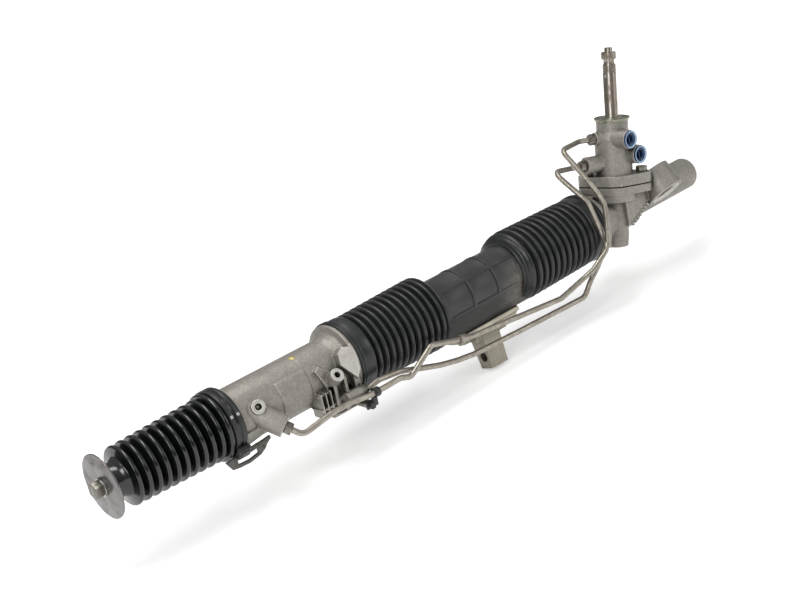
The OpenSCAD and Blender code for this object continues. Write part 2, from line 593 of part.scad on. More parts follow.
// Rubber boots and their clamps.
module left_boot() color("#141414") {
    r1 = boot_d1 / 2;
    r2 = boot_d2 / 2;
    end = boot_start + boot_len;
    outer = concat([[3.5, boot_neck_d / 2], [14, boot_neck_d / 2]],
        grow(ribs(boot_start, boot_len, boot_ribs, r1, r2, 12, rubber_t), rubber_t),
        [[cyl_x - rubber_t, boot_seat_d / 2 + rubber_t + 1], [cyl_x + 20, boot_seat_d / 2 + rubber_t + 1]]);
    inner = concat([[3.5, 17], [14, 17]], ribs(boot_start, boot_len, boot_ribs, r1, r2, 12, rubber_t),
        [[cyl_x, boot_d2 / 2 - 12], [cyl_x, boot_seat_d / 2], [cyl_x + 20, boot_seat_d / 2]]);
    x_revolve(concat(outer, back(inner)));
}
module left_boot_clamp() color("#1d1d1d") {
    r = boot_seat_d / 2 + rubber_t + 1;
    for (x = [5, 13]) x_ring(cyl_x + x, cyl_x + x + 5, 2 * r + 2, 2 * r);
    // Buckle of the strap and its loose tail.
    translate([cyl_x + 4, 0, 0]) rotate([36, 0, 0]) translate([0, -r - 4.5, -5]) cube([15, 4.5, 10]);
    translate([cyl_x, -0.635 * r, -0.7757 * r]) rotate([90, 0, 0]) linear_extrude(height = 3)
        polygon([[-8, -1], [-2, -12], [6, -13.4], [20, -14.2], [35, -11.8], [43, -7.5], [42, -4], [53, 0.5],
            [51, 3.3], [40, 1.8], [24, 1.8], [20, 0]]);
}
// Middle boot from its collar on a casting (x = 0) to its cuff on the sleeve, a plain
// stretch at each end.
module mid_boot(collar, shoulder) {
    r1 = mid_boot_d1 / 2;
    r2 = mid_boot_d2 / 2;
    rs = cuff_d / 2 + air;
    end = mid_boot_len - air;
    prof = ribs(collar + 1, end - collar - shoulder - 2, mid_ribs, r1 - 1, r2 - 1, 10, rubber_t);
    x_revolve(concat([[0, r1 - 4], [0, r1], [collar - 4, r1], [collar - 1, r1 - 3]], grow(prof, rubber_t),
        [[end - shoulder, r2 - 1], [end - 2, r2 - 1], [end, r2 - 3], [end, rs], [end - cuff_len, rs],
        [end - cuff_len, rs + rubber_t], [end - rubber_t, rs + rubber_t],
        [end - shoulder, r2 - 6]], back(prof), [[collar - 3, r1 - 4]]));
}
module mid_left_boot() color("#2c2e2e") translate([flange_x, 0, 0]) mid_boot(25, 4);
module mid_right_boot() color("#2c2e2e") translate([gear_x, 0, 0]) rotate([0, 0, 180]) mid_boot(13, 21);
module mid_left_clamp() color("#1d1d1d") for (x = [1, 4.5])
    x_ring(flange_x + x, flange_x + x + 2.5, mid_boot_d1 + 2, mid_boot_d1);
module mid_right_clamp() color("#1d1d1d") for (x = [1, 4.5])
    x_ring(gear_x - x - 2.5, gear_x - x, mid_boot_d1 + 2, mid_boot_d1);

// Rack and what rides on it.
module rack_bar() color("#b7b7b4") difference() {
    x_rod(0, rack_len, rack_d);
    x_rod(-1, end_bolt_len - 2, end_bolt_d);
    pinion_frame() linear_extrude(height = 80, center = true) rack_gaps();
    // Flat seat and threads for the take-off.
    take_frame() {
        translate([-60, -20, rack_d / 2 - 1.5]) cube([120, 40, 20]);
        for (s = [-1, 1]) translate([s * take_bolt_span / 2, 0, -6]) cylinder(h = 30, d = take_bolt_d);
    }
}
// The rack's tooth gaps as an outline across the pinion axis.
module rack_gaps() {
    n = floor((2 * stroke * cos(lean) + 20) / tooth_pitch / 2);
    y = pinion_r;
    half = tooth_pitch / 4 + backlash / 2;
    for (i = [-n : n]) translate([i * tooth_pitch, y])
        polygon([[-half - 8 * tan(pressure), -8], [half + 8 * tan(pressure), -8],
            [half - rack_ded * tan(pressure), rack_ded], [-half + rack_ded * tan(pressure), rack_ded]]);
    translate([-(n + 0.5) * tooth_pitch, y - 8]) square([(2 * n + 1) * tooth_pitch, 8 - rack_add]);
}
module piston() color("#a8a8a4") difference() {
    x_ring(piston_x - piston_w / 2, piston_x + piston_w / 2, piston_d - 2 * air, rack_d);
    x_ring(piston_x - 2, piston_x + 2, piston_d + 2, piston_d - 5);
}
module piston_ring() color("#4a4036") x_ring(piston_x - 2, piston_x + 2, piston_d - 2 * run, piston_d - 5);
module end_plate() color("#afaaa8") x_ring(-plate_t, 0, plate_d, end_bolt_d);
module spring_washer() color("#8e8a84") x_ring(-plate_t - 2.5, -plate_t, 20, end_bolt_d);
module end_bolt() color("#8e8a84") {
    translate([-plate_t - 2.5, 0, 0]) rotate([0, -90, 0]) hex(17, 9);
    x_rod(-plate_t - 2.5, end_bolt_len - plate_t - 4.5, end_bolt_d);
}
module boot_seat_ring() color("#8e8a84") x_ring(2, 15, 34 - 2 * air, rack_d);
module slider_block() color("#8e8a84") take_frame() difference() {
    translate([-block_len / 2, -slot_w / 2 + 1, rack_d / 2 - 1.5])
        cube([block_len, slot_w - 2, keel_r - rack_d / 2 + 1.5]);
    for (s = [-1, 1]) translate([s * take_bolt_span / 2, 0, 0]) cylinder(h = 60, d = take_bolt_d);
}
module slider_sleeve() color("#3c3c3b") difference() {
    union() {
        x_rod(sleeve_x0, sleeve_x1, sleeve_d);
        x_rod(sleeve_x0 - cuff_len, sleeve_x1 + cuff_len, cuff_d);
        take_frame() keel();
    }
    x_rod(sleeve_x0 - cuff_len - 1, sleeve_x1 + cuff_len + 1, tube_d + 2 * air);
    for (x = [sleeve_x0 - cuff_len - 1, sleeve_x1 + cuff_len - 9]) x_rod(x, x + 10, tube_d + 4);
    take_frame() translate([-block_len / 2, -slot_w / 2 + 1, 0])
        cube([block_len, slot_w - 2, 80]);
    for (x = [15, 57, 99]) translate([sleeve_x0 + x, 0, 0]) rotate([0, 90, 0]) sleeve_pockets(x < 99 ? 37 : 35);
}
// Shallow pockets round the sleeve that leave its ribs standing: a column of three.
module sleeve_pockets(len) intersection() {
    ring(sleeve_d + 4, sleeve_d - 2, len);
    translate([0, 0, -1]) for (a = [[78, 134], [143, 217], [226, 282]]) linear_extrude(height = len + 2)
        polygon([[0, 0], 60 * [cos(a[0]), sin(a[0])], 60 * [cos(a[1]), sin(a[1])]]);
}
// Keel of the sleeve: flats that leave the round near 30 degrees and meet the bracket.
module keel() {
    r = sleeve_d / 2 - 0.3;
    half = (r - keel_r * sin(30)) / cos(30);
    translate([sleeve_x0 - take_x + 1, 0, 0]) rotate([90, 0, 90]) linear_extrude(height = sleeve_x1 - sleeve_x0 - 2)
        polygon([[-r * cos(30), r * sin(30)], [r * cos(30), r * sin(30)], [half, keel_r], [-half, keel_r]]);
}
module slider_bushes() color("#c9b48a") {
    x_ring(sleeve_x0 - cuff_len, sleeve_x0 - cuff_len + 9, tube_d + 4, tube_d + 2 * run);
    x_ring(sleeve_x1 + cuff_len - 9, sleeve_x1 + cuff_len, tube_d + 4, tube_d + 2 * run);
}
module takeoff_bracket() color("#8f8779") take_frame() difference() {
    union() {
        difference() {
            translate([-bracket_len / 2, -bracket_w / 2, keel_r]) cube([bracket_len, bracket_w, bracket_h]);
            for (s = [-1, 1]) translate([s * (bracket_len / 2 + 5), 0, keel_r + bracket_h / 2 + 3])
                rotate([90, 0, 0]) cylinder(h = 60, d = 20, center = true);
        }
        translate([-lug_len / 2, 0, 0]) rotate([90, 0, 90]) linear_extrude(height = lug_len)
            polygon([[-bracket_w / 2, keel_r + 4], [bracket_w / 2, keel_r + 4], [lug_w / 2, lug_r], [-lug_w / 2, lug_r]]);
    }
    translate([0, 0, lug_bore_r]) rotate([0, 90, 0]) cylinder(h = 200, d = lug_bore_d, center = true);
    for (s = [-1, 1]) translate([s * take_bolt_span / 2, 0, 0]) {
        cylinder(h = 100, d = take_bolt_d);
        translate([0, 0, keel_r + 8]) cylinder(h = 40, d = 18);
    }
}
module takeoff_bolts() color("#9aa09c") take_frame() for (s = [-1, 1]) translate([s * take_bolt_span / 2, 0, 0]) {
    translate([0, 0, keel_r + 8]) hex(15, 6);
    translate([0, 0, -4]) cylinder(h = keel_r + 12, d = take_bolt_d);
}

// Pinion, rotary valve and input shaft.
function involute(r, t) = [r * (cos(t) + t * PI / 180 * sin(t)), r * (sin(t) - t * PI / 180 * cos(t))];
function spin(p, a) = [p.x * cos(a) - p.y * sin(a), p.x * sin(a) + p.y * cos(a)];
module pinion_teeth_shape() {
    base = pinion_r * cos(pressure);
    tip = pinion_r + tooth_module;
    root = pinion_r - rack_add - 0.35;
    inv = tan(pressure) * 180 / PI - pressure;
    half = (90 / pinion_teeth) + inv - backlash / 2 / pinion_r * 180 / PI;
    t_end = sqrt(pow(tip / base, 2) - 1) * 180 / PI;
    side = [for (k = [0 : 5]) spin(involute(base, t_end * k / 5), -half)];
    circle(r = root);
    for (i = [0 : pinion_teeth - 1]) rotate([0, 0, i * 360 / pinion_teeth + 90])
        polygon(concat([spin([root - 0.5, 0], -half)], side, back([for (p = side) [p.x, -p.y]]),
            [spin([root - 0.5, 0], half)]));
}
module pinion_gear() color("#b7b7b4") pinion_frame() difference() {
    union() {
        translate([0, 0, -33]) cylinder(h = 22, d = 12);
        translate([0, 0, -13]) linear_extrude(height = 26) pinion_teeth_shape();
        translate([0, 0, 13]) cylinder(h = bear_h0 - 13, d = 18);
        translate([0, 0, bear_h0]) cylinder(h = bear_w, d = 20);
        translate([0, 0, spigot_h0]) cylinder(h = sleeve_h0 - spigot_h0, d = 26);
    }
    translate([0, 0, 22]) cylinder(h = 60, d = 6.5);
    translate([0, 0, 40]) tongue(18, 6.45, 20);
}
// Two-flatted end of the input shaft; its socket in the pinion is wider and limits the twist.
module tongue(d, half, h) linear_extrude(height = h) intersection() {
    circle(d = d);
    square([30, 2 * half], center = true);
}
module upper_bearing_inner() color("#b9b9b9") pinion_frame() translate([0, 0, bear_h0]) difference() {
    ring(27, 20, bear_w);
    translate([0, 0, bear_w / 2]) rotate_extrude() translate([15.5, 0]) circle(d = 6.1);
}
ring_pitch = (sleeve_h - 13) / 3;
module valve_sleeve() color("#a9a9a6") pinion_frame() translate([0, 0, sleeve_h0]) difference() {
    ring(valve_bore_d - 1, 22, sleeve_h);
    for (i = [0 : 3]) translate([0, 0, 5 + i * ring_pitch]) ring(valve_bore_d + 2, valve_bore_d - 4, 3);
}
module valve_rings() color("#6b4b2a") pinion_frame() for (i = [0 : 3])
    translate([0, 0, sleeve_h0 + 5 + i * ring_pitch]) ring(valve_bore_d - 2 * run, valve_bore_d - 4, 3);
module input_shaft() color("#a39d94") pinion_frame() difference() {
    union() {
        translate([0, 0, 41]) tongue(17, 6, sleeve_h0 - 40);
        translate([0, 0, sleeve_h0 + 1]) cylinder(h = sleeve_h + 1, d = 22 - 2 * run);
        translate([0, 0, sleeve_h0 + 1]) cylinder(h = shaft_top - sleeve_h0 - 1, d = shaft_d);
        translate([0, 0, shaft_top]) cylinder(h = 10.5, d = shaft_d - 1);
        translate([0, 0, shaft_top + 10.5]) cylinder(h = 6.5, d = shaft_d - 3);
        translate([0, 0, shaft_top + 17]) cylinder(h = 9, d = shaft_d + 1);
        translate([0, 0, shaft_top + 26]) cylinder(h = 5.5, d = 10);
    }
    translate([0, 0, 40]) cylinder(h = shaft_top + 4 - 40, d = 9);
    translate([-20, 0, shaft_top - 4]) rotate([0, 90, 0]) cylinder(h = 40, d = 4);
}
module torsion_bar() color("#8d8d92") pinion_frame() difference() {
    union() {
        translate([0, 0, 24]) cylinder(h = 16, d = 6.4);
        translate([0, 0, 40]) cylinder(h = shaft_top - 52, d = 5);
        translate([0, 0, shaft_top - 12]) cylinder(h = 16, d = 9);
    }
    translate([-20, 0, shaft_top - 4]) rotate([0, 90, 0]) cylinder(h = 40, d = 4);
}
module torsion_pin() color("#cfcfcf") pinion_frame() translate([-shaft_d / 2, 0, shaft_top - 4])
    rotate([0, 90, 0]) cylinder(h = shaft_d, d = 4);

row() cylinder_housing();
row() rod_bush_left();
row() rod_seal_left();
row() rod_seal_right();
row() rod_bush_right();
row() passage_ball();
row() centre_tube();
row() gear_housing();
row() tube_end_cap();
row() lower_bearing();
row() pinion_cover();
row() upper_bearing_outer();
row() upper_bearing_balls();
row() pinion_seal();
row() rack_guide();
row() guide_spring();
row() guide_plug();
row() guide_locknut();
row() valve_housing();
row() flange_o_ring();
row() flange_bolts();
row() input_bearing();
row() input_seal();
row() dust_cover();
row() port_caps();
row() pipe_nuts();
row() left_port_pipe();
row() mid_port_pipe();
row() pipe_clips();
row() left_boot();
row() left_boot_clamp();
row() mid_left_boot();
row() mid_left_clamp();
row() mid_right_boot();
row() mid_right_clamp();
row() rack_bar();
row() piston();
row() piston_ring();
row() end_plate();
row() spring_washer();
row() end_bolt();
row() boot_seat_ring();
row() slider_block();
row() slider_sleeve();
row() slider_bushes();
row() takeoff_bracket();
row() takeoff_bolts();
row() pinion_gear();
row() upper_bearing_inner();
row() valve_sleeve();
row() valve_rings();
row() input_shaft();
row() torsion_bar();
row() torsion_pin();
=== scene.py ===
# %% [markdown]
# # A power steering rack, dressed for its picture
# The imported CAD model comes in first. It is already the right size and every moving part already
# has its joint, so nothing in this lesson moves or reshapes it. The lesson adds what the CAD model
# leaves plain: moulded bellows, cast skins with soft edges, ribs, serrations and every finish.

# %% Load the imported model
import json
import math
import bpy
from mathutils import Matrix, Vector


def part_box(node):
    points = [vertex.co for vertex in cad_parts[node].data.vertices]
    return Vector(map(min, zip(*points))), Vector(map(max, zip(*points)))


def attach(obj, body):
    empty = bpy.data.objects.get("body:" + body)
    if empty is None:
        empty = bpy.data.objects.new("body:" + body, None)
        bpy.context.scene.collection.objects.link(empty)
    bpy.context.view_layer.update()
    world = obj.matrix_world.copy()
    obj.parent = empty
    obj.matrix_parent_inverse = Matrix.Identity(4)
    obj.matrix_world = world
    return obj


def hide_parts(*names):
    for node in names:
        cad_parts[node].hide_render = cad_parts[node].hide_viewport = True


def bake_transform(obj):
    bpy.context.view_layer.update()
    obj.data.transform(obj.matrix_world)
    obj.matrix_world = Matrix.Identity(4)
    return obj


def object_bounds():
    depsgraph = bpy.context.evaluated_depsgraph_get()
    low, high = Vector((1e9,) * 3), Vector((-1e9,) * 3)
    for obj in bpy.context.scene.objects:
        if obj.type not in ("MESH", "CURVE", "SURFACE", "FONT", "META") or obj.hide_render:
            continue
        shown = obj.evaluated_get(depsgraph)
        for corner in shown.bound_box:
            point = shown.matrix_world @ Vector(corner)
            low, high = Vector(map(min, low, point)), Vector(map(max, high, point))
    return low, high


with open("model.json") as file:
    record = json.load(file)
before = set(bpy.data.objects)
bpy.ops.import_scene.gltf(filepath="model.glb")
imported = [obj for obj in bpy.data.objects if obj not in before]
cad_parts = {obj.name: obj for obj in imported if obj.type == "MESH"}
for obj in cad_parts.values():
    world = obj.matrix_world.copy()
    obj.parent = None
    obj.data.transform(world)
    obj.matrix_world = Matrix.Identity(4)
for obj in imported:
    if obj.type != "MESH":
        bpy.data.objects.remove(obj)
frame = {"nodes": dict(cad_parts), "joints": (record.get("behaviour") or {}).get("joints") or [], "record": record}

cad_box = [[round(v, 6) for v in corner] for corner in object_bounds()]
nodes = frame["nodes"]
print("CAD nodes:", len(nodes), "box:", cad_box)

# %% [markdown]
# ## Camera
# The rack was photographed from above its free end. The camera's place and turn come from fitting
# pipes, rings and flanges of the model to the picture. A lens of 65 mm keeps the long rack's
# perspective mild, as a studio photographer would.

# %% Set the camera
lens = bpy.data.cameras.new("studio_lens")
lens.lens = 65.25
lens.sensor_width = 36
lens.clip_end = 30
camera = bpy.data.objects.new("studio_camera", lens)
bpy.context.scene.collection.objects.link(camera)
camera.matrix_world = Matrix((
    (0.72298, 0.37999, -0.57698, -1.40709),
    (-0.66034, 0.13453, -0.73882, -1.20774),
    (-0.20312, 0.91516, 0.34818, 0.59312),
    (0, 0, 0, 1)))
bpy.context.scene.camera = camera
print("Camera at", tuple(round(v, 3) for v in camera.location))

# %% [markdown]
# ## Landmarks
# Everything turned on the rack shares one axis, and the pinion and its valve share another that
# leans towards the end of the housing. Both are read off the CAD nodes, so the new pieces follow
# them exactly. Lengths along the rack are told from the free end, in millimetres.

# %% Find the two axes
disc_low, disc_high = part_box("end_plate")
axis_y = (disc_low.y + disc_high.y) / 2
axis_z = (disc_low.z + disc_high.z) / 2
free_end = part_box("rack_bar")[0].x
pinion_joint = next(j for j in frame["joints"] if j["name"] == "pinion_turn")
pinion_foot = Vector(pinion_joint["pos_m"])
pinion_axis = Vector(pinion_joint["axis"]).normalized()
across_pinion = Vector((pinion_axis.z, 0, -pinion_axis.x))


def along(mm):
    """The place on the rack's axis that many millimetres from the free end, in metres."""
    return Vector((free_end + mm * 0.001, axis_y, axis_z))


def at_rack(mm, y, z):
    """A place by its distance from the free end and its y and z from the rack's axis, in millimetres."""
    return along(mm) + Vector((0, y, z)) * 0.001


def on_valve(x, y, h):
    """A place round the pinion's axis: x across it, y to the back and h up it, in millimetres."""
    return pinion_foot + (across_pinion * x + Vector((0, 1, 0)) * y + pinion_axis * h) * 0.001


print("Rack axis", tuple(along(0)), "pinion foot", tuple(pinion_foot))

# %% [markdown]
# ## Making a turned piece
# Bellows, bands and rims are all turned shapes. Their wall is drawn as a thin closed outline,
# point after point, by extruding one vertex, and the outline is then spun round the axis.
# Everything is deselected first, because the loaded CAD nodes come in selected.


# %% A helper that spins an outline
def start_fresh():
    """Leave edit mode and select nothing."""
    if bpy.context.object and bpy.context.object.mode != "OBJECT":
        bpy.ops.object.mode_set(mode="OBJECT")
    bpy.ops.object.select_all(action="DESELECT")


def choose(piece):
    """Select one piece alone and make it active."""
    start_fresh()
    piece.select_set(True)
    bpy.context.view_layer.objects.active = piece


def settle(piece, smooth=40):
    """Leave the piece at the origin, unturned, with smooth faces and sharp corners kept."""
    choose(piece)
    bpy.ops.object.transform_apply(location=True, rotation=True, scale=True)
    bpy.ops.object.shade_smooth_by_angle(angle=math.radians(smooth))
    return piece


def spun(name, outline, foot, axis, side, steps=96):
    """A closed ring: outline is (along, radius) in millimetres round the wall's section."""
    axis, side = Vector(axis).normalized(), Vector(side).normalized()
    places = [Vector(foot) + (axis * a + side * r) * 0.001 for a, r in outline]
    start_fresh()
    bpy.ops.mesh.primitive_plane_add(size=0.001, location=places[0])
    piece = bpy.context.object
    piece.name = piece.data.name = name
    bpy.ops.object.mode_set(mode="EDIT")
    bpy.ops.mesh.merge(type="CENTER")
    for before, after in zip(places, places[1:]):
        bpy.ops.mesh.extrude_vertices_move(TRANSFORM_OT_translate={"value": after - before})
    bpy.ops.mesh.select_mode(type="VERT")
    bpy.ops.mesh.select_all(action="DESELECT")
    bpy.ops.object.mode_set(mode="OBJECT")
    for tip in (0, len(places) - 1):
        piece.data.vertices[tip].select = True
    bpy.ops.object.mode_set(mode="EDIT")
    if outline[0][1] or outline[-1][1]:
        bpy.ops.mesh.edge_face_add()
    bpy.ops.mesh.select_all(action="SELECT")
    bpy.ops.mesh.spin(steps=steps, angle=math.tau, center=foot, axis=axis)
    bpy.ops.mesh.select_all(action="SELECT")
    bpy.ops.mesh.remove_doubles(threshold=1e-6)
    bpy.ops.mesh.normals_make_consistent(inside=False)
    bpy.ops.object.mode_set(mode="OBJECT")
    return piece


print("Ready to spin outlines")

# %% [markdown]
# ## The bellows' folds
# A fold has a round crest and a round root, joined by slanting walls. The outside and the inside
# of the rubber follow the same folds, one wall thickness apart, so each bellows is a real shell.
# The small one is thin and glossy with deep folds; the two big ones are thicker with shallower
# folds. The crests grow slowly from one end to the other, as in the picture.


# %% Draw the folds
def folds(start, length, count, crest_0, crest_1, depth, crest_w, root_w, wall):
    """Points (along, radius) over count folds. Crest and root are rounded by short arcs."""
    points = []
    pitch = length / count
    for i in range(count):
        crest = crest_0 + (crest_1 - crest_0) * (i + 0.5) / count
        root = crest - depth
        x = start + i * pitch
        for share, height in (
                (0, 0), (root_w * 0.35, 0.02), (root_w * 0.5, 0.1), (0.5 - crest_w * 0.62, 0.8),
                (0.5 - crest_w * 0.5, 0.92), (0.5 - crest_w * 0.28, 0.985), (0.5, 1.0),
                (0.5 + crest_w * 0.28, 0.985), (0.5 + crest_w * 0.5, 0.92), (0.5 + crest_w * 0.62, 0.8),
                (1 - root_w * 0.5, 0.1), (1 - root_w * 0.35, 0.02)):
            points.append((x + share * pitch, root + height * depth + wall))
    points.append((start + length, crest_1 - depth + wall))
    return points


def bellows(name, lead, fold, tail, wall, inner_tail=None):
    """A shell: the outside points of its lead, then folds with the values in fold, then its tail."""
    outside = lead + folds(*fold, 0) + tail
    inside = [(x, r - wall) for x, r in lead] + folds(*fold, -wall)
    inside += inner_tail or [(x, r - wall) for x, r in tail]
    piece = spun(name, outside + inside[::-1], along(0), (1, 0, 0), (0, 0, 1), 112)
    settle(piece, 60)
    print(name, "has", len(piece.data.polygons), "faces")
    return piece


print("A fold of 10 mm has", len(folds(0, 10, 1, 40, 40, 8, 0.4, 0.3, 0)), "points")

# %% Spin the three bellows
small_bellows = bellows(
    "small_bellows",
    [(3.5, 19.5), (13.0, 19.5), (14.6, 20.2), (16.6, 21.6)],
    (18, 112.6, 10, 33.4, 36.4, 11.4, 0.4, 0.3),
    [(131.2, 36.4), (131.7, 38.2), (132.6, 38.9), (136.6, 38.9), (137.0, 38.3), (144.6, 38.3), (145.0, 38.9),
     (152.0, 38.9), (153.0, 38.3)],
    1.6)
left_bellows = bellows(
    "left_bellows",
    [(311.3, 43.4), (312, 44), (331, 44), (333, 43.6), (334.6, 41)],
    (336, 108, 11, 43.4, 46.2, 8.6, 0.4, 0.3),
    [(444.6, 45.2), (446.0, 45.9), (446.8, 45.2), (446.8, 31.4)],
    1.8,
    [(443.4, 43.2), (444.8, 42.6), (444.9, 31.4)])
right_bellows = bellows(
    "right_bellows",
    [(583.2, 36.1), (583.6, 36.7), (584.6, 37.4), (585.3, 39.2), (586.1, 41.2), (587.3, 42.3), (588.5, 41.9),
     (589.6, 40.7), (590.6, 41.0), (591.9, 42.9), (593.5, 44.5), (595.3, 45.0), (597.1, 44.3), (598.5, 42.6),
     (599.5, 40.4)],
    (600.4, 110, 10, 46.2, 44.4, 8.6, 0.4, 0.3),
    [(711.8, 41.4), (713.2, 43.4), (715.0, 43.9), (736, 44), (736.7, 43.4)],
    1.8)
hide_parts("left_boot")
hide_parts("mid_left_boot")
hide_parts("mid_right_boot")
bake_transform(small_bellows)
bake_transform(left_bellows)
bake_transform(right_bellows)

# %% [markdown]
# ## Cast skins
# The cylinder, the gear housing, the valve body and the bracket are sand castings. Their corners
# are soft and their joins are filleted, while the CAD model has sharp ones. A copy of each node's
# mesh is welded, remeshed into a fine even skin and smoothed a little, which rounds every edge by
# about a millimetre and fills the inner corners, as the foundry's pattern does. The two pipes get
# such a skin too, so that their bends are round.


# %% A helper that copies a node's mesh
weld = 2e-6


def copied(node, name):
    """A piece of its own with a copy of a node's mesh, its points welded, in edit mode."""
    start_fresh()
    mesh = nodes[node].data.copy()
    mesh.name = name
    piece = bpy.data.objects.new(name, mesh)
    bpy.context.scene.collection.objects.link(piece)
    choose(piece)
    bpy.ops.object.mode_set(mode="EDIT")
    bpy.ops.mesh.select_all(action="SELECT")
    bpy.ops.mesh.remove_doubles(threshold=weld)
    return piece


print("points closer than", weld, "m become one")


# %% Blocks that a casting gains or loses
def block(low, high, turn=0.0, about="X"):
    """A block between two corners of the rack's own frame, in millimetres, turned about its middle."""
    low, high = Vector(low), Vector(high)
    start_fresh()
    bpy.ops.mesh.primitive_cube_add(size=0.001, location=at_rack(*((low + high) / 2)))
    piece = bpy.context.object
    piece.scale = high - low
    bpy.ops.object.transform_apply(location=False, rotation=False, scale=True)
    bpy.ops.object.mode_set(mode="EDIT")
    bpy.ops.mesh.select_all(action="SELECT")
    bpy.ops.mesh.bevel(offset=0.0004, segments=2, affect="EDGES")
    bpy.ops.object.mode_set(mode="OBJECT")
    piece.rotation_euler["XYZ".index(about)] = math.radians(turn)
    bpy.ops.object.transform_apply(location=True, rotation=True, scale=True)
    return piece


# Ribs of the mounting block, and the pockets in its left side that the ribs stand between.
block_ribs = [block((b, -42, -38), (b + 1.6, -20, -8)) for b in (250.5, 257, 263.5)]
block_ribs += [block((249, -41, -28), (268, -20, -26)), block((249, -38, -12), (268, -20, -10))]
block_pockets = [block((266, -42.5, -39.5), (277, -25, -26)), block((266, -42.5, -19), (277, -25, -5))]
# Short ribs along the slanted foot of the gear housing's flat front.
foot_ribs = []
for i in range(7):
    x, z = 791.5 + i * 5.4, -10.6 + i * 2.55
    foot_ribs.append(block((x - 1.1, -38.4, z - 4.0), (x + 1.1, -24, z + 1.8), -25, "Y"))
print(len(block_ribs), "block ribs,", len(block_pockets), "pockets,", len(foot_ribs), "foot ribs")


# %% Round the castings' edges
def cast_skin(name, node, body, cell, rounds, keep, gains=(), losses=()):
    """A copy of a node with soft edges: cell is the skin's mesh size in millimetres."""
    piece = copied(node, name)
    bpy.ops.object.mode_set(mode="OBJECT")
    for cutter in losses:
        cut = piece.modifiers.new("cut", "BOOLEAN")
        cut.operation = "DIFFERENCE"
        cut.solver = "EXACT"
        cut.object = cutter
        bpy.ops.object.modifier_apply(modifier="cut")
        bpy.data.objects.remove(cutter)
    for gain in gains:
        gain.select_set(True)
    if gains:
        bpy.ops.object.join()
    skin = piece.modifiers.new("skin", "REMESH")
    skin.mode = "VOXEL"
    skin.voxel_size = cell * 0.001
    bpy.ops.object.modifier_apply(modifier="skin")
    soft = piece.modifiers.new("soft", "SMOOTH")
    soft.factor = 0.5
    soft.iterations = rounds
    bpy.ops.object.modifier_apply(modifier="soft")
    thin = piece.modifiers.new("thin", "DECIMATE")
    thin.ratio = keep
    bpy.ops.object.modifier_apply(modifier="thin")
    bpy.ops.object.shade_smooth()
    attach(piece, body)
    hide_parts(node)
    print(name, "has", len(piece.data.polygons), "faces")
    return piece


# %% Skin the castings and the pipes
cylinder_skin = cast_skin(
    "cylinder_skin", "cylinder_housing", "housing", 0.75, 3, 0.5, block_ribs, block_pockets)
gear_skin = cast_skin("gear_skin", "gear_housing", "housing", 0.75, 3, 0.5, foot_ribs)
valve_skin = cast_skin("valve_skin", "valve_housing", "housing", 0.6, 3, 0.5)
# The bracket's upper edge is chamfered towards the front.
bracket_edge = block((473, -26.6, -45.2), (575, -21.4, -40.0), -35)
# On each side of the lug only a thin flange is left, with a bolt head on it.
bracket_gaps = [block((start, -40, -72), (start + 32.5, 14, -52), -12) for start in (466, 549.5)]
bracket_skin = cast_skin(
    "bracket_skin", "takeoff_bracket", "rack", 0.7, 3, 0.6, [bracket_edge], bracket_gaps)
left_pipe_skin = cast_skin("left_pipe_skin", "left_port_pipe", "housing", 0.75, 6, 0.6)
mid_pipe_skin = cast_skin("mid_pipe_skin", "mid_port_pipe", "housing", 0.75, 6, 0.6)

# %% [markdown]
# ## Soft edges on what is turned, pressed or moulded
# No real edge is perfectly sharp. Nuts, bolts, bands, plugs and the plastic sleeve get a small
# bevel, which catches a thin line of light. A copy of the node's mesh is welded, its flat faces
# are joined again, and a Bevel modifier rounds every corner steeper than 35 degrees.


# %% Bevel the small pieces
def softened(node, body, width):
    """A copy of a node with bevelled edges, which then stands in for it. Width is in millimetres."""
    piece = copied(node, "soft_" + node)
    bpy.ops.mesh.dissolve_limited(angle_limit=math.radians(0.6))
    bpy.ops.object.mode_set(mode="OBJECT")
    edge = piece.modifiers.new("edge", "BEVEL")
    edge.width = width * 0.001
    edge.segments = 2
    edge.limit_method = "ANGLE"
    edge.angle_limit = math.radians(35)
    bpy.ops.object.modifier_apply(modifier="edge")
    bpy.ops.object.shade_smooth_by_angle(angle=math.radians(32))
    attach(piece, body)
    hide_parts(node)
    return piece


# %% Soften the nuts, bolts, bands and covers
slot_of = {s["node"]: s["material_slot"] for s in frame["record"]["subparts"]}
soft = {}
for node, body, width in (
        ("pipe_nuts", "housing", 0.45), ("pipe_clips", "housing", 0.35), ("flange_bolts", "housing", 0.45),
        ("dust_cover", "housing", 0.3), ("tube_end_cap", "housing", 0.4), ("passage_ball", "housing", 0.1),
        ("guide_locknut", "housing", 0.7), ("guide_plug", "housing", 0.6), ("pinion_cover", "housing", 0.4),
        ("mid_left_clamp", "housing", 0.4), ("mid_right_clamp", "housing", 0.4),
        ("centre_tube", "housing", 0.3),
        ("end_plate", "rack", 0.5), ("spring_washer", "rack", 0.3),
        ("end_bolt", "rack", 0.6), ("slider_sleeve", "rack", 0.4), ("takeoff_bolts", "rack", 0.5),
        ("input_shaft", "input_shaft", 0.5)):
    soft[node] = softened(node, body, width)
# The ball that closes the oil passage sits a little below its boss's face.
ball_way = Vector((-0.35, -0.85, 0.39)).normalized()
soft["passage_ball"].location = ball_way * -0.0024
choose(soft["passage_ball"])
bpy.ops.object.transform_apply(location=True)
print("softened:", {n: len(p.data.polygons) for n, p in soft.items()})

# %% [markdown]
# ## Plugs of the hose ports
# Two blue plastic plugs keep dirt out of the ports. Each is a cup with a broad rolled rim and a
# thin web across its hollow to pull it by. The cup is spun, the web is a bevelled plate joined to
# it, and the second plug is a copy of the first.


# %% Spin the plug
def joined(main, others):
    """One piece out of several."""
    choose(main)
    for other in others:
        other.select_set(True)
    bpy.ops.object.join()
    return main


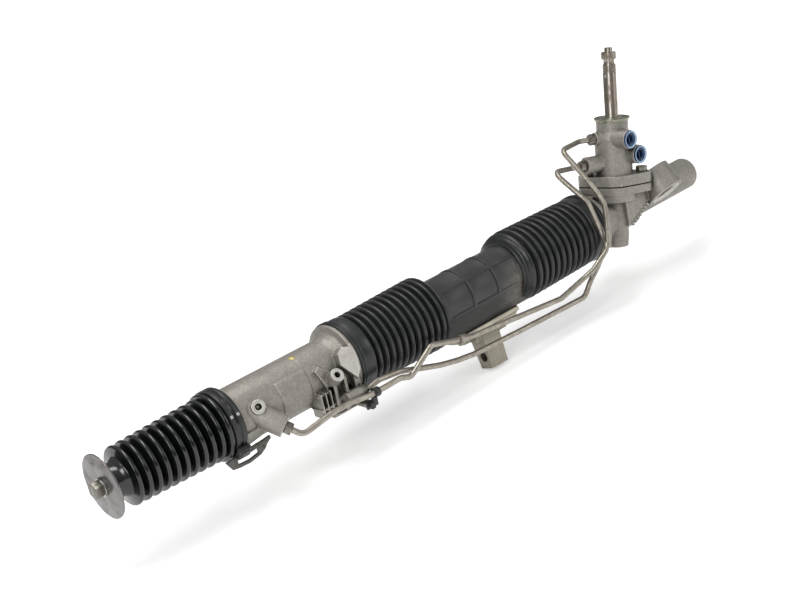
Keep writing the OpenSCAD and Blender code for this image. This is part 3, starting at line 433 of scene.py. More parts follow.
upper_port, lower_port = on_valve(-6, -33, 103), on_valve(12, -33, 81)
upper_plug = spun(
    "upper_plug",
    [(-8, 0), (-8, 7.1), (-7.6, 7.5), (0, 7.5), (0, 11.0), (0.4, 11.45), (2.2, 11.5), (2.8, 11.2),
     (3.0, 10.6), (2.9, 9.9), (2.4, 9.4), (1.6, 8.9), (0.9, 8.2), (0.6, 6.6), (0.2, 6.0), (-6, 5.8),
     (-6.2, 5.2), (-6.2, 0)],
    upper_port, (0, -1, 0), (0, 0, 1), 64)
print("the plug's wall has", len(upper_plug.data.polygons), "faces")

# %% Put the web in and copy the plug
start_fresh()
bpy.ops.mesh.primitive_cube_add(size=0.001, location=upper_port + Vector((0, 0.0031, 0)))
web = bpy.context.object
web.scale = (1.3, 5.6, 11.9)
bpy.ops.object.transform_apply(location=True, scale=True)
bpy.ops.object.mode_set(mode="EDIT")
bpy.ops.mesh.select_all(action="SELECT")
bpy.ops.mesh.bevel(offset=0.0003, segments=2, affect="EDGES")
bpy.ops.object.mode_set(mode="OBJECT")
settle(joined(upper_plug, [web]), 50)
lower_plug = bpy.data.objects.new("lower_plug", upper_plug.data.copy())
bpy.context.scene.collection.objects.link(lower_plug)
lower_plug.location = lower_port - upper_port
settle(lower_plug, 50)
for plug in (upper_plug, lower_plug):
    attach(plug, "housing")
    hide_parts("port_caps")
print("plugs have", len(upper_plug.data.polygons), "faces each")

# %% [markdown]
# ## Strap of the left bellows
# Two thin bands pull the collar tight and end in a buckle, with a loose lever beside it. The
# lever is a grid of faces pushed to its outline row by row. A long window is left out between its
# two bars, and Solidify and Bevel modifiers then give it thickness and soft edges.

# %% Spin the two bands
collar = 38.9
band_outline = [(0, -0.4), (0, 0.45), (0.35, 0.95), (1.2, 1.05), (1.6, 0.7), (3.4, 0.7), (3.8, 1.05),
                (4.6, 0.95), (5, 0.45), (5, -0.4)]
strap_bands = [spun(
    "strap_band_%d" % i, [(start + a, collar + r) for a, r in band_outline],
    along(0), (1, 0, 0), (0, 0, 1)) for i, start in enumerate((138, 146))]
print("bands:", [band.name for band in strap_bands])

# %% Push a grid into the lever's outline
# Each row is told by its place along the rack and the heights of its four points.
lever_foot = (133, -24.7, -30.14)
rows = [
    (-8, -1.6, -1.4, -1.2, -1.0), (-2, -12, -8.4, -3.4, -0.6), (6, -13.4, -9.6, -4.0, 0),
    (19, -14.2, -10.4, -4.2, 0), (21.5, -14.1, -10.3, -3.6, 0.6), (33, -12.2, -8.6, -2.6, 1.8),
    (36, -11.4, -7.4, -2.4, 1.8), (43, -7.5, -5.0, -1.2, 2.2), (46, -3.6, -2.4, -0.4, 2.6),
    (52, 0.0, 0.8, 2.2, 3.2)]
start_fresh()
bpy.ops.mesh.primitive_grid_add(x_subdivisions=len(rows) - 1, y_subdivisions=3, size=0.01)
lever = bpy.context.object
lever.name = lever.data.name = "strap_lever"
count = len(rows)
window = []
for face in lever.data.polygons:
    corners = list(face.vertices)
    if min(corners) // count == 1 and 2 <= min(corners) % count <= 4:
        window.append(face.index)
for point in lever.data.vertices:
    row = rows[point.index % count]
    point.co = at_rack(lever_foot[0] + row[0], lever_foot[1], lever_foot[2] + row[1 + point.index // count])
print("lever grid of", count, "rows, window of", len(window), "faces")

# %% Open the window and give the lever its thickness
bpy.ops.object.mode_set(mode="EDIT")
bpy.ops.mesh.select_mode(type="FACE")
bpy.ops.mesh.select_all(action="DESELECT")
bpy.ops.object.mode_set(mode="OBJECT")
for index in window:
    lever.data.polygons[index].select = True
bpy.ops.object.mode_set(mode="EDIT")
bpy.ops.mesh.delete(type="FACE")
bpy.ops.mesh.select_all(action="SELECT")
bpy.ops.mesh.normals_make_consistent(inside=False)
bpy.ops.object.mode_set(mode="OBJECT")
thick = lever.modifiers.new("thick", "SOLIDIFY")
thick.thickness = 0.003
thick.offset = 0
bpy.ops.object.modifier_apply(modifier="thick")
lever.location = (0, -0.0015, 0)
edge = lever.modifiers.new("edge", "BEVEL")
edge.width = 0.0006
edge.segments = 2
bpy.ops.object.modifier_apply(modifier="edge")
print("lever has", len(lever.data.polygons), "faces")

# %% Add the buckle and join the strap
buckle = [block((137, -45.6, -7), (152, -39.2, 7)), block((139.2, -46.6, -4.6), (149.8, -44, 4.6)),
          block((136.4, -45.9, -1.2), (152.6, -43.2, 1.2))]
for part in buckle:
    choose(part)
    bpy.ops.transform.rotate(value=math.radians(-36), orient_axis="X", center_override=along(0))
# Two small raised tabs on the bands, given a pale glossy finish later: painted highlights where the bands catch
# the light.
highlight_tabs = [block((a, -39.9, -1.7), (a + 3.6, -38.6, 1.7)) for a in (139.3, 147.4)]
for part in highlight_tabs:
    choose(part)
    bpy.ops.transform.rotate(value=math.radians(26), orient_axis="X", center_override=along(0))
strap = settle(joined(strap_bands[0], [strap_bands[1], *buckle]), 40)
settle(lever, 40)
strap.name = strap.data.name = "left_strap"
strap_highlight_tabs = settle(joined(highlight_tabs[0], highlight_tabs[1:]), 40)
strap_highlight_tabs.name = strap_highlight_tabs.data.name = "left_strap_highlight_tabs"
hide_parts("left_boot_clamp")
for piece in (strap, strap_highlight_tabs, lever):
    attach(piece, "housing")
print("strap has", len(strap.data.polygons), "faces")

# %% [markdown]
# ## Serrations on the input shaft
# The steering column's joint grips a serrated head, and a finer knurled band sits below it. Each
# is a cylinder whose columns of points are moved in by twos, which leaves a tooth between them.


# %% Cut the teeth
def toothed(name, teeth, tip, root, low, high):
    """A ring of straight teeth round the pinion's axis, from height low to high, in millimetres."""
    start_fresh()
    bpy.ops.mesh.primitive_cylinder_add(vertices=teeth * 4, radius=tip * 0.001, depth=(high - low) * 0.001)
    piece = bpy.context.object
    piece.name = piece.data.name = name
    bpy.ops.object.mode_set(mode="EDIT")
    bpy.ops.mesh.select_mode(type="VERT")
    bpy.ops.mesh.select_all(action="DESELECT")
    bpy.ops.object.mode_set(mode="OBJECT")
    for point in piece.data.vertices:
        column = round(math.atan2(point.co.y, point.co.x) / math.tau * teeth * 4)
        point.select = column % 4 < 2
    bpy.ops.object.mode_set(mode="EDIT")
    bpy.ops.transform.resize(value=(root / tip, root / tip, 1), center_override=(0, 0, 0))
    bpy.ops.object.mode_set(mode="OBJECT")
    edge = piece.modifiers.new("edge", "BEVEL")
    edge.width = 0.0001
    edge.limit_method = "ANGLE"
    bpy.ops.object.modifier_apply(modifier="edge")
    piece.rotation_mode = "QUATERNION"
    piece.rotation_quaternion = pinion_axis.to_track_quat("Z", "Y")
    piece.location = on_valve(0, 0, (low + high) / 2)
    settle(piece, 20)
    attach(piece, "input_shaft")
    return piece


shaft_teeth = toothed("shaft_teeth", 20, 9.45, 8.7, 203.6, 211.4)
shaft_knurl = toothed("shaft_knurl", 44, 8.4, 7.9, 187, 195.6)
print("shaft teeth:", len(shaft_teeth.data.polygons), "knurl:", len(shaft_knurl.data.polygons))

# %% [markdown]
# ## Finishes, and the effects that they share
# Each effect that more than one finish uses is a node group. A group puts out only colours, masks
# and heights that change over the surface. The shader itself stays in each material, where its
# plain values are set on its own sockets. All patterns read Object coordinates, in metres.


# %% A helper that builds a node group
def effect(name, inputs, outputs):
    """An empty shader node group with named sockets: (kind, name, value) each."""
    group = bpy.data.node_groups.new(name, "ShaderNodeTree")
    for kind, label, value in inputs:
        socket = group.interface.new_socket(name=label, in_out="INPUT", socket_type="NodeSocket" + kind)
        if value is not None:
            socket.default_value = value
    for kind, label in outputs:
        group.interface.new_socket(name=label, in_out="OUTPUT", socket_type="NodeSocket" + kind)
    return group, group.nodes.new("NodeGroupInput").outputs, group.nodes.new("NodeGroupOutput").inputs


class Bench:
    """Adds nodes to a tree and links them, so that a finish reads top to bottom."""

    def __init__(self, tree):
        self.tree = tree

    def put(self, value, socket):
        if hasattr(value, "is_output"):
            self.tree.links.new(value, socket)
        elif value is not None:
            socket.default_value = value

    def coords(self):
        return self.tree.nodes.new("ShaderNodeTexCoord").outputs["Object"]

    def filled(self, kind, **values):
        """A node of that kind with its named inputs filled."""
        node = self.tree.nodes.new(kind)
        for label, value in values.items():
            self.put(value, node.inputs[label.replace("_", " ")])
        return node

    def mapped(self, vector, scale=(1, 1, 1), location=(0, 0, 0)):
        return self.filled("ShaderNodeMapping", Vector=vector, Scale=scale, Location=location).outputs[0]

    def noise(self, vector, scale, detail=3, rough=0.55, warp=0):
        return self.filled("ShaderNodeTexNoise", Vector=vector, Scale=scale, Detail=detail, Roughness=rough,
                           Distortion=warp).outputs["Fac"]

    def cells(self, vector, scale):
        return self.filled("ShaderNodeTexVoronoi", Vector=vector, Scale=scale).outputs["Distance"]

    def shelter(self, reach):
        """How open a place is within that reach: 1 in the open, less in corners."""
        node = self.tree.nodes.new("ShaderNodeAmbientOcclusion")
        node.samples = 6
        node.inputs["Distance"].default_value = reach
        return node.outputs["AO"]

    def near(self, vector, point, inner, outer):
        """1 within the inner distance from a point, 0 past the outer one."""
        node = self.tree.nodes.new("ShaderNodeVectorMath")
        node.operation = "DISTANCE"
        self.put(vector, node.inputs[0])
        self.put(tuple(point), node.inputs[1])
        return self.ramp(node.outputs["Value"], outer, inner)

    def ramp(self, value, low, high, start=0.0, end=1.0):
        return self.filled("ShaderNodeMapRange", Value=value, From_Min=low, From_Max=high, To_Min=start,
                           To_Max=end).outputs[0]

    def math(self, kind, a, b=None):
        node = self.tree.nodes.new("ShaderNodeMath")
        node.operation = kind
        for v, socket in zip((a, b), node.inputs):
            self.put(v, socket)
        return node.outputs[0]

    def distance(self, a, b):
        """The square root of a squared and b squared: how far a place is from an axis."""
        return self.math("SQRT", self.math("ADD", self.math("MULTIPLY", a, a), self.math("MULTIPLY", b, b)))

    def mix(self, share, a, b):
        node = self.tree.nodes.new("ShaderNodeMix")
        node.data_type = "RGBA"
        self.put(share, node.inputs[0])
        self.put(a, node.inputs[6])
        self.put(b, node.inputs[7])
        return node.outputs[2]

    def split(self, vector):
        node = self.tree.nodes.new("ShaderNodeSeparateXYZ")
        self.put(vector, node.inputs[0])
        return node.outputs

    def use(self, group, **values):
        node = self.tree.nodes.new("ShaderNodeGroup")
        node.node_tree = group
        for label, value in values.items():
            self.put(value, node.inputs[label.replace("_", " ")])
        return node.outputs

    def bump(self, height, strength, depth):
        return self.filled("ShaderNodeBump", Height=height, Strength=strength, Distance=depth).outputs[0]


print("Ready to build effects")

# %% [markdown]
# ## Cast metal
# Sand leaves a grain of about half a millimetre and soft blotches where the skin was hotter or
# has been handled. Convex corners are rubbed brighter and corners that face inwards are darker.
# The mesh's pointiness tells the two apart, which works because the cast skins are one even mesh.
# Places closed in by nearby surfaces also get painted shade.

# %% The sand-cast effect
# The darkest input colour serves both random dark tone and painted shade.
sand_cast, given, out = effect(
    "sand_cast",
    [("Color", "Metal", (0.3, 0.28, 0.25, 1)), ("Color", "Grime", (0.1, 0.09, 0.08, 1)),
     ("Color", "Rubbed", (0.5, 0.48, 0.44, 1)), ("Float", "Grain", 900), ("Float", "Blotch", 28)],
    [("Color", "Colour"), ("Float", "Roughness"), ("Float", "Height")])
b = Bench(sand_cast)
place = b.coords()
grain = b.noise(place, given["Grain"], 4, 0.7)
blotch = b.noise(place, given["Blotch"], 5, 0.6, 0.4)
mottle = b.noise(place, 260, 4, 0.65, 0.3)
pits = b.ramp(b.cells(place, 420), 0.12, 0.3, 0, 1)
corner = sand_cast.nodes.new("ShaderNodeNewGeometry").outputs["Pointiness"]
rub = b.ramp(corner, 0.515, 0.56)
dirt_and_shade = b.ramp(corner, 0.49, 0.45)
# Painted shade: places closed in by nearby surfaces within 14 mm are darkened.
dirt_and_shade = b.math("MAXIMUM", dirt_and_shade, b.ramp(b.shelter(0.014), 0.82, 0.34))
dirt_and_shade = b.math("MAXIMUM", dirt_and_shade, b.math("MULTIPLY", b.ramp(blotch, 0.56, 0.74), 0.2))
dirt_and_shade = b.math("MAXIMUM", dirt_and_shade, b.math("MULTIPLY", b.ramp(grain, 0.6, 0.75), 0.3))
colour = b.mix(b.ramp(mottle, 0.34, 0.5, 0.16, 0), given["Metal"], given["Grime"])
colour = b.mix(b.ramp(mottle, 0.52, 0.7, 0, 0.2), colour, given["Rubbed"])
colour = b.mix(b.math("MULTIPLY", dirt_and_shade, 0.85), colour, given["Grime"])
colour = b.mix(b.math("MULTIPLY", rub, b.ramp(blotch, 0.3, 0.6, 0.3, 0.9)), colour, given["Rubbed"])
colour = b.mix(b.ramp(grain, 0.35, 0.45, 0.3, 0), colour, given["Rubbed"])
b.put(colour, out["Colour"])
b.put(b.ramp(b.math("ADD", blotch, b.math("MULTIPLY", grain, 0.3)), 0.4, 0.85, 0.36, 0.62), out["Roughness"])
relief = b.math("ADD", b.math("MULTIPLY", pits, 0.3), mottle)
b.put(b.math("ADD", b.math("MULTIPLY", grain, 0.5), relief), out["Height"])
print("sand_cast has", len(sand_cast.nodes), "nodes")

# %% [markdown]
# ## Turned, plated and moulded surfaces
# A lathe leaves fine rings: they follow the length on a rod and the radius on a face, so one sum
# of both drives them. Zinc plating is slightly mottled in green and yellow. Moulded rubber and
# plastic are nearly even, with a faint texture, dull dust and a few fine scuffs.

# %% The turned effect
turned, given, out = effect(
    "turned",
    [("Vector", "Place", None), ("Color", "Metal", (0.45, 0.43, 0.4, 1)),
     ("Color", "Stain", (0.2, 0.17, 0.13, 1)), ("Float", "Rings", 2600), ("Float", "Stained", 0.3)],
    [("Color", "Colour"), ("Float", "Roughness"), ("Float", "Height")])
b = Bench(turned)
parts = b.split(given["Place"])
radius = b.distance(parts[1], parts[2])
sweep_along = turned.nodes.new("ShaderNodeCombineXYZ")
b.put(b.math("ADD", parts[0], radius), sweep_along.inputs[0])
rings = b.noise(sweep_along.outputs[0], given["Rings"], 3, 0.6)
blotch = b.noise(given["Place"], 55, 4, 0.6, 0.5)
stain = b.math("MULTIPLY", b.ramp(blotch, 0.48, 0.7), given["Stained"])
colour = b.mix(stain, given["Metal"], given["Stain"])
colour = b.mix(b.ramp(rings, 0.45, 0.7, 0, 0.22), colour, given["Stain"])
b.put(colour, out["Colour"])
b.put(b.math("ADD", b.ramp(rings, 0.3, 0.7, 0.24, 0.38), b.math("MULTIPLY", stain, 0.3)), out["Roughness"])
b.put(rings, out["Height"])
print("turned has", len(turned.nodes), "nodes")

# %% The plated effect
plated, given, out = effect(
    "plated",
    [("Color", "Coat A", (0.36, 0.38, 0.34, 1)), ("Color", "Coat B", (0.3, 0.29, 0.2, 1)),
     ("Color", "Worn", (0.12, 0.11, 0.1, 1)), ("Float", "Mottle", 160), ("Float", "Wear", 0.25)],
    [("Color", "Colour"), ("Float", "Roughness"), ("Float", "Height")])
b = Bench(plated)
place = b.coords()
mottle = b.noise(place, given["Mottle"], 4, 0.65, 0.6)
fine = b.noise(place, 1500, 2, 0.6)
wear = b.math("MULTIPLY", b.ramp(b.noise(place, 240, 5, 0.7, 0.8), 0.52, 0.66), given["Wear"])
colour = b.mix(b.ramp(mottle, 0.35, 0.65), given["Coat A"], given["Coat B"])
b.put(b.mix(wear, colour, given["Worn"]), out["Colour"])
b.put(b.math("ADD", b.ramp(mottle, 0.3, 0.7, 0.28, 0.42), b.math("MULTIPLY", wear, 0.3)), out["Roughness"])
b.put(b.math("ADD", b.math("MULTIPLY", fine, 0.5), b.math("MULTIPLY", mottle, 0.5)), out["Height"])
print("plated has", len(plated.nodes), "nodes")

# %% The moulded effect
moulded, given, out = effect(
    "moulded",
    [("Color", "Body", (0.03, 0.03, 0.03, 1)), ("Color", "Dust", (0.2, 0.19, 0.17, 1)),
     ("Float", "Dusty", 0.2), ("Float", "Gloss", 0.3), ("Float", "Texture", 1300)],
    [("Color", "Colour"), ("Float", "Roughness"), ("Float", "Height")])
b = Bench(moulded)
place = b.coords()
skin = b.noise(place, given["Texture"], 3, 0.6)
cloud = b.noise(place, 30, 5, 0.65, 0.7)
specks = b.ramp(b.cells(place, 260), 0.1, 0.02)
scuffs = b.ramp(b.noise(b.mapped(place, scale=(60, 420, 420)), 1.0, 4, 0.7, 1.5), 0.62, 0.72)
settled = b.math("ADD", b.ramp(cloud, 0.45, 0.75), b.math("MULTIPLY", specks, 0.6))
dust = b.math("MULTIPLY", b.math("ADD", settled, b.math("MULTIPLY", scuffs, 0.5)), given["Dusty"])
b.put(b.mix(dust, given["Body"], given["Dust"]), out["Colour"])
dulled = b.math("ADD", b.math("MULTIPLY", dust, 0.5), b.ramp(cloud, 0.3, 0.7, -0.04, 0.08))
b.put(b.math("ADD", given["Gloss"], dulled), out["Roughness"])
b.put(b.math("ADD", skin, b.math("MULTIPLY", scuffs, 0.3)), out["Height"])
print("effects:", [g.name for g in bpy.data.node_groups])


# %% A helper that makes a finish
def new_finish(name, metallic, bump, make, **sockets):
    """make(bench) gives colour, roughness and height; sockets are plain values of the shader."""
    material = bpy.data.materials.new(name)
    material.use_nodes = True
    tree = material.node_tree
    tree.nodes.clear()
    shader = tree.nodes.new("ShaderNodeBsdfPrincipled")
    tree.links.new(shader.outputs[0], tree.nodes.new("ShaderNodeOutputMaterial").inputs[0])
    bench = Bench(tree)
    colour, roughness, height = make(bench)
    bench.put(colour, shader.inputs["Base Color"])
    bench.put(roughness, shader.inputs["Roughness"])
    bench.put(bench.bump(height, *bump), shader.inputs["Normal"])
    bench.put(metallic, shader.inputs["Metallic"])
    for label, value in sockets.items():
        shader.inputs[label.replace("_", " ")].default_value = value
    return material


def on_rack_axis(b):
    """Object coordinates seen from the rack's axis."""
    return b.mapped(b.coords(), location=(0, -axis_y, -axis_z))


def on_pinion_axis(b):
    """Object coordinates turned so that the pinion's axis is X, measured from its foot."""
    lean = math.atan2(pinion_axis.x, pinion_axis.z)
    node = b.tree.nodes.new("ShaderNodeMapping")
    node.vector_type = "TEXTURE"
    node.inputs["Location"].default_value = pinion_foot
    node.inputs["Rotation"].default_value = (0, lean - math.pi / 2, 0)
    b.put(b.coords(), node.inputs["Vector"])
    return node.outputs[0]


print("the pinion leans", round(math.degrees(math.atan2(pinion_axis.x, pinion_axis.z)), 1), "degrees")

# %% [markdown]
# ## The finishes
# A finish takes one of the effects and gives it its own tones. The castings have two marks of
# their own: a painted shadow line in the joint under the valve's flange, and a dab of yellow paint.
# Rubber and plastic differ mostly in gloss. What is turned reads its rings from the axis that it turns on.


# %% Cast metal and its marks
joint_height, flange_reach = 0.042, 0.047
# The darkest of these tones also colours the painted shade in sheltered places.
cast_tones = dict(Metal=(0.3, 0.281, 0.25, 1), Grime=(0.04, 0.034, 0.028, 1), Rubbed=(0.6, 0.575, 0.53, 1))


def with_joint(b):
    """The casting's look, with a painted shadow line where the valve's flange meets the gear housing."""
    colour, roughness, height = b.use(sand_cast, **cast_tones)
    up, across, back = b.split(on_pinion_axis(b))
    from_joint = b.math("ABSOLUTE", b.math("SUBTRACT", up, joint_height))
    inside = b.ramp(b.distance(across, back), flange_reach + 0.0005, flange_reach - 0.0005)
    # Painted shadow: a near-black line along the joint, also pressed in a little as a groove.
    shadow_line = b.math("MULTIPLY", b.ramp(from_joint, 0.0012, 0.0006), inside)
    return b.mix(shadow_line, colour, (0.012, 0.01, 0.008, 1)), roughness, b.math("SUBTRACT", height, shadow_line)


casting = new_finish("casting", 0.6, (0.6, 0.0005), with_joint)
milled_metal = new_finish("milled_metal", 0.75, (0.35, 0.0003), lambda b: b.use(
    sand_cast, Metal=(0.56, 0.54, 0.5, 1), Grime=(0.2, 0.17, 0.14, 1), Rubbed=(0.76, 0.74, 0.7, 1),
    Grain=1400, Blotch=70))
bright_edge = new_finish("bright_edge", 0.6, (0.35, 0.0003), lambda b: b.use(
    sand_cast, Metal=(0.55, 0.52, 0.42, 1), Grime=(0.2, 0.165, 0.11, 1), Rubbed=(0.74, 0.71, 0.6, 1),
    Grain=1400, Blotch=120))


def with_dab(b):
    """The casting's look, with a dab of yellow paint on the cylinder's shoulder."""
    colour, roughness, height = b.use(sand_cast, **cast_tones)
    place = b.coords()
    ragged = b.math("ADD", b.near(place, at_rack(248.5, -6.9, 31.8), 0.0019, 0.0052),
                    b.ramp(b.noise(place, 700, 3), 0.3, 0.7, -0.3, 0.3))
    dab = b.ramp(ragged, 0.45, 0.6)
    colour = b.mix(dab, colour, b.mix(b.ramp(ragged, 0.8, 1.1), (0.5, 0.38, 0.06, 1), (0.85, 0.78, 0.42, 1)))
    return colour, b.math("MULTIPLY", roughness, b.ramp(dab, 0, 1, 1, 0.8)), b.math("ADD", height, dab)


cylinder_casting = new_finish("cylinder_casting", 0.6, (0.6, 0.0005), with_dab)
bracket_iron = new_finish("bracket_iron", 0.55, (0.7, 0.0006), lambda b: b.use(
    sand_cast, Metal=(0.35, 0.325, 0.265, 1), Grime=(0.07, 0.05, 0.035, 1), Rubbed=(0.58, 0.54, 0.42, 1),
    Grain=700, Blotch=45))
print("cast finishes:", casting.name, cylinder_casting.name, bracket_iron.name)

# %% Rubber and plastic
boot_rubber = new_finish("boot_rubber", 0, (0.12, 0.0001), lambda b: b.use(
    moulded, Body=(0.004, 0.005, 0.005, 1), Dust=(0.12, 0.12, 0.12, 1), Dusty=0.04, Gloss=0.15,
    Texture=700), Specular_IOR_Level=0.6)
mid_boot_rubber = new_finish("mid_boot_rubber", 0, (0.25, 0.00015), lambda b: b.use(
    moulded, Body=(0.011, 0.0125, 0.0125, 1), Dust=(0.16, 0.16, 0.15, 1), Dusty=0.08, Gloss=0.33))


def sleeve_look(b):
    """Dark plastic with painted shade in the creases round its pockets, rubbed brown near the bracket's bolts."""
    colour, roughness, height = b.use(
        moulded, Body=(0.026, 0.027, 0.027, 1), Dust=(0.13, 0.125, 0.115, 1), Dusty=0.22, Gloss=0.42)
    place = b.coords()
    # Painted shade: creases closed in within 2.2 mm turn nearly black.
    crease_shade = b.ramp(b.shelter(0.0022), 0.92, 0.6)
    colour = b.mix(crease_shade, colour, (0.002, 0.002, 0.002, 1))
    rubbed = b.math("MULTIPLY", b.near(place, at_rack(588, -29, -22), 0.006, 0.048),
                    b.ramp(b.noise(place, 160, 5, 0.7, 0.5), 0.36, 0.62, 0.3, 1))
    return b.mix(rubbed, colour, (0.23, 0.205, 0.175, 1)), roughness, height


sleeve_plastic = new_finish("sleeve_plastic", 0, (0.3, 0.00015), sleeve_look)
strap_black = new_finish("strap_black", 0, (0.15, 0.0001), lambda b: b.use(
    moulded, Body=(0.014, 0.015, 0.016, 1), Dust=(0.16, 0.16, 0.16, 1), Dusty=0.1, Gloss=0.34))
seal_rubber = new_finish("seal_rubber", 0, (0.2, 0.0001), lambda b: b.use(
    moulded, Body=(0.02, 0.02, 0.02, 1), Dusty=0.1, Gloss=0.4))
seal_ring = new_finish("seal_ring", 0, (0.1, 0.0001), lambda b: b.use(
    moulded, Body=(0.14, 0.08, 0.04, 1), Dusty=0.05, Gloss=0.36))
guide_polymer = new_finish("guide_polymer", 0, (0.2, 0.0001), lambda b: b.use(
    moulded, Body=(0.16, 0.15, 0.12, 1), Dusty=0.1, Gloss=0.42))
cap_blue = new_finish("cap_blue", 0, (0.2, 0.0001), lambda b: b.use(
    moulded, Body=(0.006, 0.024, 0.085, 1), Dust=(0.15, 0.25, 0.42, 1), Dusty=0.15, Gloss=0.3))
# The rim's front face is painted a much paler blue than the rest of the plug: painted light.
cap_rim_painted_light = new_finish("cap_rim_painted_light", 0, (0.2, 0.0001), lambda b: b.use(
    moulded, Body=(0.31, 0.47, 0.64, 1), Dust=(0.6, 0.7, 0.8, 1), Dusty=0.4, Gloss=0.26))
# Pale glossy finish of the strap's two tabs: painted highlights.
strap_tab_highlight = new_finish("strap_tab_highlight", 0, (0.2, 0.0001), lambda b: b.use(
    moulded, Body=(0.42, 0.42, 0.41, 1), Dust=(0.7, 0.7, 0.7, 1), Dusty=0.5, Gloss=0.3))
print("soft finishes:", boot_rubber.name, sleeve_plastic.name, cap_blue.name)

# %% Turned and plated metal
machined_steel = new_finish("machined_steel", 1, (0.15, 0.00004), lambda b: b.use(
    turned, Place=on_rack_axis(b), Metal=(0.48, 0.47, 0.45, 1), Stained=0.35))
# The heavy brown blotches are partly real stains and partly a painted reflection of the bolt head in the shiny
# plate.
plate_steel = new_finish("plate_steel", 1, (0.1, 0.00004), lambda b: b.use(
    turned, Place=on_rack_axis(b), Metal=(0.215, 0.21, 0.208, 1), Stain=(0.11, 0.09, 0.075, 1),
    Rings=1400, Stained=0.7))
shaft_steel = new_finish("shaft_steel", 1, (0.15, 0.00004), lambda b: b.use(
    turned, Place=on_pinion_axis(b), Metal=(0.33, 0.295, 0.255, 1), Stain=(0.13, 0.1, 0.075, 1),
    Stained=0.8))
bearing_steel = new_finish("bearing_steel", 1, (0.05, 0.00002), lambda b: b.use(
    turned, Place=on_pinion_axis(b), Metal=(0.62, 0.62, 0.62, 1), Rings=4000, Stained=0.1))
tube_steel = new_finish("tube_steel", 1, (0.15, 0.00005), lambda b: b.use(
    turned, Place=on_rack_axis(b), Metal=(0.3, 0.3, 0.29, 1), Stained=0.5, Rings=1200))
bronze = new_finish("bronze", 1, (0.15, 0.00004), lambda b: b.use(
    turned, Place=on_rack_axis(b), Metal=(0.5, 0.32, 0.14, 1), Stained=0.3))
plated_steel = new_finish("plated_steel", 0.85, (0.25, 0.0001), lambda b: b.use(
    plated, Coat_A=(0.33, 0.34, 0.28, 1), Coat_B=(0.26, 0.245, 0.18, 1), Worn=(0.07, 0.06, 0.045, 1),
    Wear=0.6))
dark_steel = new_finish("dark_steel", 0.9, (0.25, 0.0001), lambda b: b.use(
    plated, Coat_A=(0.24, 0.23, 0.2, 1), Coat_B=(0.17, 0.155, 0.13, 1), Worn=(0.04, 0.035, 0.03, 1),
    Wear=0.6))
pipe_steel = new_finish("pipe_steel", 0.8, (0.2, 0.0001), lambda b: b.use(
    plated, Coat_A=(0.4, 0.37, 0.32, 1), Coat_B=(0.31, 0.28, 0.23, 1), Worn=(0.12, 0.1, 0.075, 1),
    Mottle=90, Wear=0.45))
lever_steel = new_finish("lever_steel", 0.5, (0.3, 0.0002), lambda b: b.use(
    plated, Coat_A=(0.07, 0.068, 0.06, 1), Coat_B=(0.13, 0.124, 0.108, 1), Worn=(0.02, 0.02, 0.018, 1),
    Mottle=70, Wear=0.6))
finishes = dict(
    casting=casting, bracket_iron=bracket_iron, boot_rubber=boot_rubber, mid_boot_rubber=mid_boot_rubber,
    sleeve_plastic=sleeve_plastic, strap_black=strap_black, seal_rubber=seal_rubber, seal_ring=seal_ring,
    guide_polymer=guide_polymer, cap_blue=cap_blue, machined_steel=machined_steel, plate_steel=plate_steel,
    shaft_steel=shaft_steel, bearing_steel=bearing_steel, tube_steel=tube_steel, bronze=bronze,
    plated_steel=plated_steel, pipe_steel=pipe_steel)
print("finishes:", len(finishes))

# %% [markdown]
# ## Dress every node and piece
# The record names a material slot for each node. The CAD meshes stay as they are; only their
# material slots are filled. The new pieces get the finish of what they stand for.

# %% Fill the material slots
for name, node in nodes.items():
    node.data.materials.clear()
    node.data.materials.append(finishes[slot_of[name]])
looks = {piece: finishes[slot_of[node]] for node, piece in soft.items()}
looks.update({
    small_bellows: boot_rubber, left_bellows: mid_boot_rubber, right_bellows: mid_boot_rubber,
    cylinder_skin: cylinder_casting, gear_skin: casting, valve_skin: casting, bracket_skin: bracket_iron,
    left_pipe_skin: pipe_steel, mid_pipe_skin: pipe_steel, shaft_teeth: shaft_steel, shaft_knurl: shaft_steel,
    upper_plug: cap_blue, lower_plug: cap_blue, strap: strap_black, strap_highlight_tabs: strap_tab_highlight,
    lever: lever_steel,
    **{soft[node]: dark_steel for node in ("pipe_nuts", "end_bolt", "passage_ball")}})
for piece, look in looks.items():
    piece.data.materials.clear()
    piece.data.materials.append(look)
print("dressed", len(nodes), "nodes and", len(looks), "pieces")

# %% [markdown]
# ## Faces that a cutter has touched
# A casting is milled where something bolts on, seals or passes through. Those faces are flat,
# brighter and smoother than the sand skin. They are picked by their place and by the way they
# face, and get a second material. The front faces of the plugs' rims are picked in the same way
# and get a much paler blue: painted light on the plug's one blue plastic.


# %% Pick the milled faces
def mill(piece, look, places):
    """Give look to faces near each place: (point, way it faces, reach in mm, depth in mm, cosine)."""
    piece.data.materials.append(look)
    picked = 0
    spots = [(Vector(point), Vector(way).normalized(), reach * 0.001, depth * 0.001, least)
             for point, way, reach, depth, least in places]
    for face in piece.data.polygons:
        for point, way, reach, depth, least in spots:
            gap = face.center - point
            if gap.length < reach and abs(gap.dot(way)) < depth and face.normal.dot(way) > least:
                face.material_index = 1
                picked += 1
                break
    print(piece.name, "milled faces:", picked)


def forward(degrees):
    """The way to the front, tilted up by that angle."""
    return Vector((0, -math.cos(math.radians(degrees)), math.sin(math.radians(degrees))))


